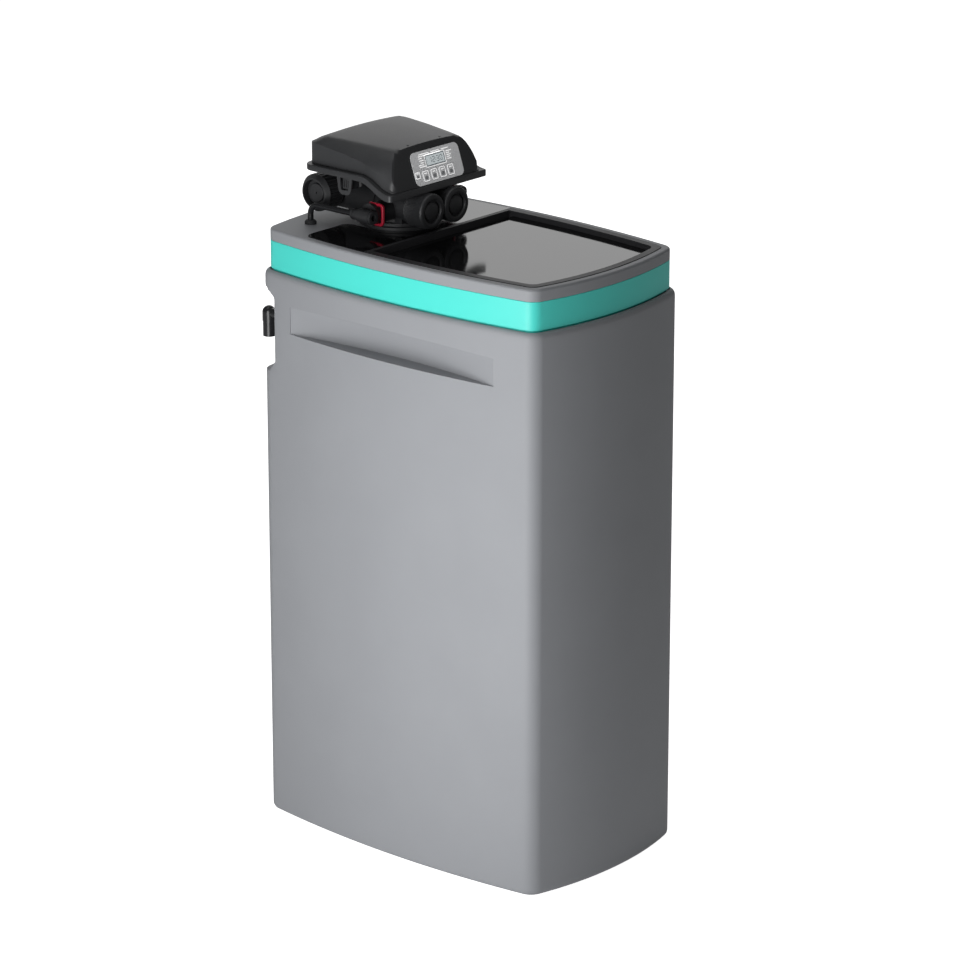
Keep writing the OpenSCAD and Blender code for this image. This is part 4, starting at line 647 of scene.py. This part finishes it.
# Control panel: a grey film with a window for the screen, marks in white ink and five sprung keys.
# It is glued to the leaning face; the screen and the keys stand on the circuit board behind it.
# Marks are plain bars, boxes and digits. Places are from the foot of the face, up its slope.
SEAT = (Matrix.Translation((DECK + Vector((0, BONNET_FRONT, 65.4))) * MM)
        @ Matrix.Rotation(math.radians(90) - FACE_LEAN, 4, "X"))
FILM_TOP, KEY_TOP, SCREEN_TOP, INK = 0.6, 1.1, 0.3, 0.06
LCD_X, LCD_Y, LCD_W, LCD_H = 5.5, 30.2, 37.0, 14.5
KEYS = [(-34.8, 14.7, 10.0, 10.0)] + [(-19.5 + 16.2 * i, 11.4, 12.4, 15.0) for i in range(4)]
BAR, BAR_ROUND = 1.2, 0.4
BARS = [(-14, 40.6, 20), (8, 40.6, 16), (27, 40.6, 14), (-4, 38.2, 44),
        (-22.5, 35.4, 7), (-21, 32.4, 9), (-20.5, 29.4, 6), (-23, 26.6, 10), (-21, 24.2, 12),
        (33.5, 36.4, 11), (31, 33.8, 7), (32.5, 31.2, 9), (31, 28.6, 7), (32, 26, 8)]


def on_face(x, y, z):
    """A place on the leaning face: across it, up it and out from it."""
    return SEAT @ Matrix.Translation((x * MM, y * MM, z * MM))


def painted_glow(material, colour, strength):
    """Gives a material a painted glow: emission that makes it brighter than the studio light alone would."""
    shader = material.node_tree.nodes["Principled BSDF"]
    shader.inputs["Emission Color"].default_value = linear(colour)
    shader.inputs["Emission Strength"].default_value = strength


# Silver-grey polyester film: a soft metallic sheen with very fine flake, and a faint painted glow that lifts
# it out of the face's shade.
# The flake is about 0.05 mm; it is drawn at 0.5 mm so that it shows.
film = moulded("polyester_film_silver", "#e6e7e9", "#dfe0e2", roughness=0.38, ior=1.6,
               grain_mm=0.5, grain_depth_mm=0.01, cloud_mm=30)
painted_glow(film, "#ffffff", 0.07)
finish(film, "panel_overlay", *["button_%d" % n for n in range(1, 6)])
# White screen-printing ink: flat and slightly chalky, with a painted glow so that it reads bright in the
# face's shade.
ink = moulded("ink_white_screen_printed", "#fafafa", "#f4f4f4", roughness=0.6, ior=1.5,
              grain_mm=0.4, grain_depth_mm=0.01, cloud_mm=20)
painted_glow(ink, "#ffffff", 0.55)
bm = bmesh.new()
for x, y, length in BARS:
    plate(bm, length, BAR, BAR_ROUND, INK, on_face(x, y, FILM_TOP))
plate(bm, LCD_W + 3, LCD_H + 3, 1.4, INK, on_face(LCD_X, LCD_Y, FILM_TOP), 0.9)
printed(bm, "panel_print", ink, "cover")

# Key marks: an outline and a short bar in white ink, and a grey oval where the finger goes.
# They are printed on the keys and move with them.
# Grey screen-printing ink: flat, a little smoother than the white.
shade = moulded("ink_grey_screen_printed", "#a9abae", "#a2a4a7", roughness=0.5, ior=1.5,
                grain_mm=0.4, grain_depth_mm=0.01, cloud_mm=20)
for number, (x, y, width, height) in enumerate(KEYS, 1):
    bm = bmesh.new()
    plate(bm, width - 0.8, height - 0.8, 2.2, INK, on_face(x, y, KEY_TOP), 1.0)
    plate(bm, width * 0.42, BAR, BAR_ROUND, INK, on_face(x, y + height * 0.24, KEY_TOP))
    printed(bm, "key_outline_%d" % number, ink, "key_%d" % number)
    bm = bmesh.new()
    plate(bm, width * 0.5, height * 0.34, min(width * 0.24, height * 0.16), INK,
          on_face(x, y - height * 0.14, KEY_TOP))
    printed(bm, "key_oval_%d" % number, shade, "key_%d" % number)

# Screen: a liquid crystal cell, pale grey-green behind a blue-black edge, with seven-segment digits.
# It stands on the circuit board and shows through the window of the film.
# Glass over a faintly tinted reflector, with a painted glow that brightens it: smooth and bright, with a
# little unevenness.
screen = moulded("liquid_crystal_glass", "#dbe4e6", "#d0dbde", roughness=0.16, ior=1.52,
                 grain_mm=1.5, grain_depth_mm=0.005, cloud_mm=12)
painted_glow(screen, "#e2eaec", 0.3)
finish(screen, "lcd")
# Turned liquid crystal: a flat blue-grey under the same glass.
crystal = moulded("liquid_crystal_dark", "#4a5a66", "#42515c", roughness=0.2, ior=1.52,
                  grain_mm=1.0, grain_depth_mm=0.005, cloud_mm=10)
SEGMENTS = {"0": "abcdef", "1": "bc", "2": "abged", "3": "abgcd"}
SEGMENT_PLACES = {"a": (0, 3.6), "g": (0, 0), "d": (0, -3.6), "b": (2, 1.8), "c": (2, -1.8),
                  "e": (-2, -1.8), "f": (-2, 1.8)}
bm = bmesh.new()
plate(bm, LCD_W - 0.4, LCD_H - 0.4, 0.8, INK, on_face(LCD_X, LCD_Y, SCREEN_TOP), 0.8)
for column, digit in zip((-9.5, -3.0, 5.0, 11.5), "1230"):
    for segment in SEGMENTS[digit]:
        dx, dy = SEGMENT_PLACES[segment]
        wide, tall = (3.2, 0.7) if segment in "agd" else (0.7, 2.9)
        plate(bm, wide, tall, 0.25, INK, on_face(LCD_X + column + dx, LCD_Y + dy, SCREEN_TOP))
for dy in (-1.6, 1.6):
    plate(bm, 0.9, 0.9, 0.3, INK, on_face(LCD_X + 1.0, LCD_Y + dy, SCREEN_TOP))
printed(bm, "screen_digits", crystal, "cover")

# Circuit board: glass epoxy under green lacquer, standing on posts behind the panel.
# Copper tracks about 0.7 mm wide show through the lacquer as lighter lines, 3 mm apart.
board, tree, shader, place = start_finish("glass_epoxy_green_lacquer", "#2c6743", 0.3, 1.55)
tracks = add_node(tree, "ShaderNodeTexBrick",
                  {"Scale": 1 / (12 * MM), "Color1": linear("#2c6743"), "Color2": linear("#275d3c"),
                   "Mortar": linear("#4b8a5d"), "Mortar Size": 0.03}, {"Vector": place})
tree.links.new(tracks.outputs["Color"], shader.inputs["Base Color"])
finish(board, "circuit_board")

# Screw caps: two small rubber plugs in the top of the control cover, near its front edge.
# They stand a hair above the top; the screws that they hide aren't modelled.
PLUG_X, PLUG_Y, PLUG_D, PLUG_T, PLUG_SUNK = 31.3, -43.0, 3.4, 0.25, 0.1
bm = bmesh.new()
for x in (-PLUG_X, PLUG_X):
    seat = DECK + Vector((x, PLUG_Y, bonnet_height(x, PLUG_Y) - PLUG_SUNK))
    plate(bm, PLUG_D, PLUG_D, PLUG_D / 2 - 0.05, PLUG_T, Matrix.Translation(seat * MM))
printed(bm, "screw_caps", rubber, "cover")

# Camera at the photo's angle: a long lens from the front left, a little above the deck.
azimuth, elevation = math.radians(-48.8432), math.radians(18.4412)
level = math.cos(elevation)
back = Vector((math.sin(azimuth) * level, -math.cos(azimuth) * level, math.sin(elevation)))
camera = bpy.data.objects.new("camera", bpy.data.cameras.new("camera"))
camera.data.sensor_width = 36
camera.data.lens = 167.71
camera.data.clip_end = 50
camera.location = (-4.26413, -3.74462, 2.38460)
camera.rotation_euler = (-back).to_track_quat("-Z", "Y").to_euler()
bpy.context.scene.collection.objects.link(camera)
bpy.context.scene.camera = camera


# Studio: a white floor and white air, a tall narrow light close on the left, a broad one behind the object
# for the polished panels to mirror, and a weak one overhead.
def dim_glow(tree, strength):
    """Strength of a glow that is white to the camera, and that lights the object only a little."""
    path = add_node(tree, "ShaderNodeLightPath")
    glow = add_node(tree, "ShaderNodeMapRange", {"To Min": strength, "To Max": 1.0},
                    {"Value": path.outputs["Is Camera Ray"]})
    return glow.outputs["Result"]


bm = bmesh.new()
bmesh.ops.create_grid(bm, x_segments=1, y_segments=1, size=15)
floor_mesh = bpy.data.meshes.new("studio_floor")
bm.to_mesh(floor_mesh)
bm.free()
floor = bpy.data.objects.new("studio_floor", floor_mesh)
# White paper: matt, with no shine.
paper, tree, shader, place = start_finish("paper_white_matt", "#e6e6e6", 0.9, 1.45)
shader.inputs["Emission Color"].default_value = linear("#ffffff")
tree.links.new(dim_glow(tree, 0.22), shader.inputs["Emission Strength"])
floor_mesh.materials.append(paper)
bpy.context.scene.collection.objects.link(floor)


def panel_light(name, place, target, width, height, radiance):
    """A soft rectangular light aimed at a point, given by its radiance."""
    data = bpy.data.lights.new(name, "AREA")
    data.shape = "RECTANGLE"
    data.size, data.size_y = width, height
    data.energy = radiance * width * height * math.pi
    lamp = bpy.data.objects.new(name, data)
    lamp.location = place
    lamp.rotation_euler = (Vector(target) - Vector(place)).to_track_quat("-Z", "Y").to_euler()
    lamp.visible_camera = False
    bpy.context.scene.collection.objects.link(lamp)


panel_light("left_softbox", (-1.0, -0.2, 0.6), (0, -0.2, 0.6), width=0.6, height=1.2, radiance=4.9)
panel_light("rear_softbox", (2.6, 2.3, 2.0), (0, 0, 0.9), width=4.0, height=3.0, radiance=1.05)
panel_light("top_softbox", (-0.2, 0.2, 2.8), (-0.2, 0.2, 0), width=2.0, height=2.0, radiance=0.8)
world = bpy.data.worlds.new("studio_air")
bpy.context.scene.world = world
world.use_nodes = True
tree = world.node_tree
air = tree.nodes["Background"]
air.inputs["Color"].default_value = linear("#ffffff")
tree.links.new(dim_glow(tree, 0.1), air.inputs["Strength"])
bpy.context.scene.view_settings.view_transform = "Standard"
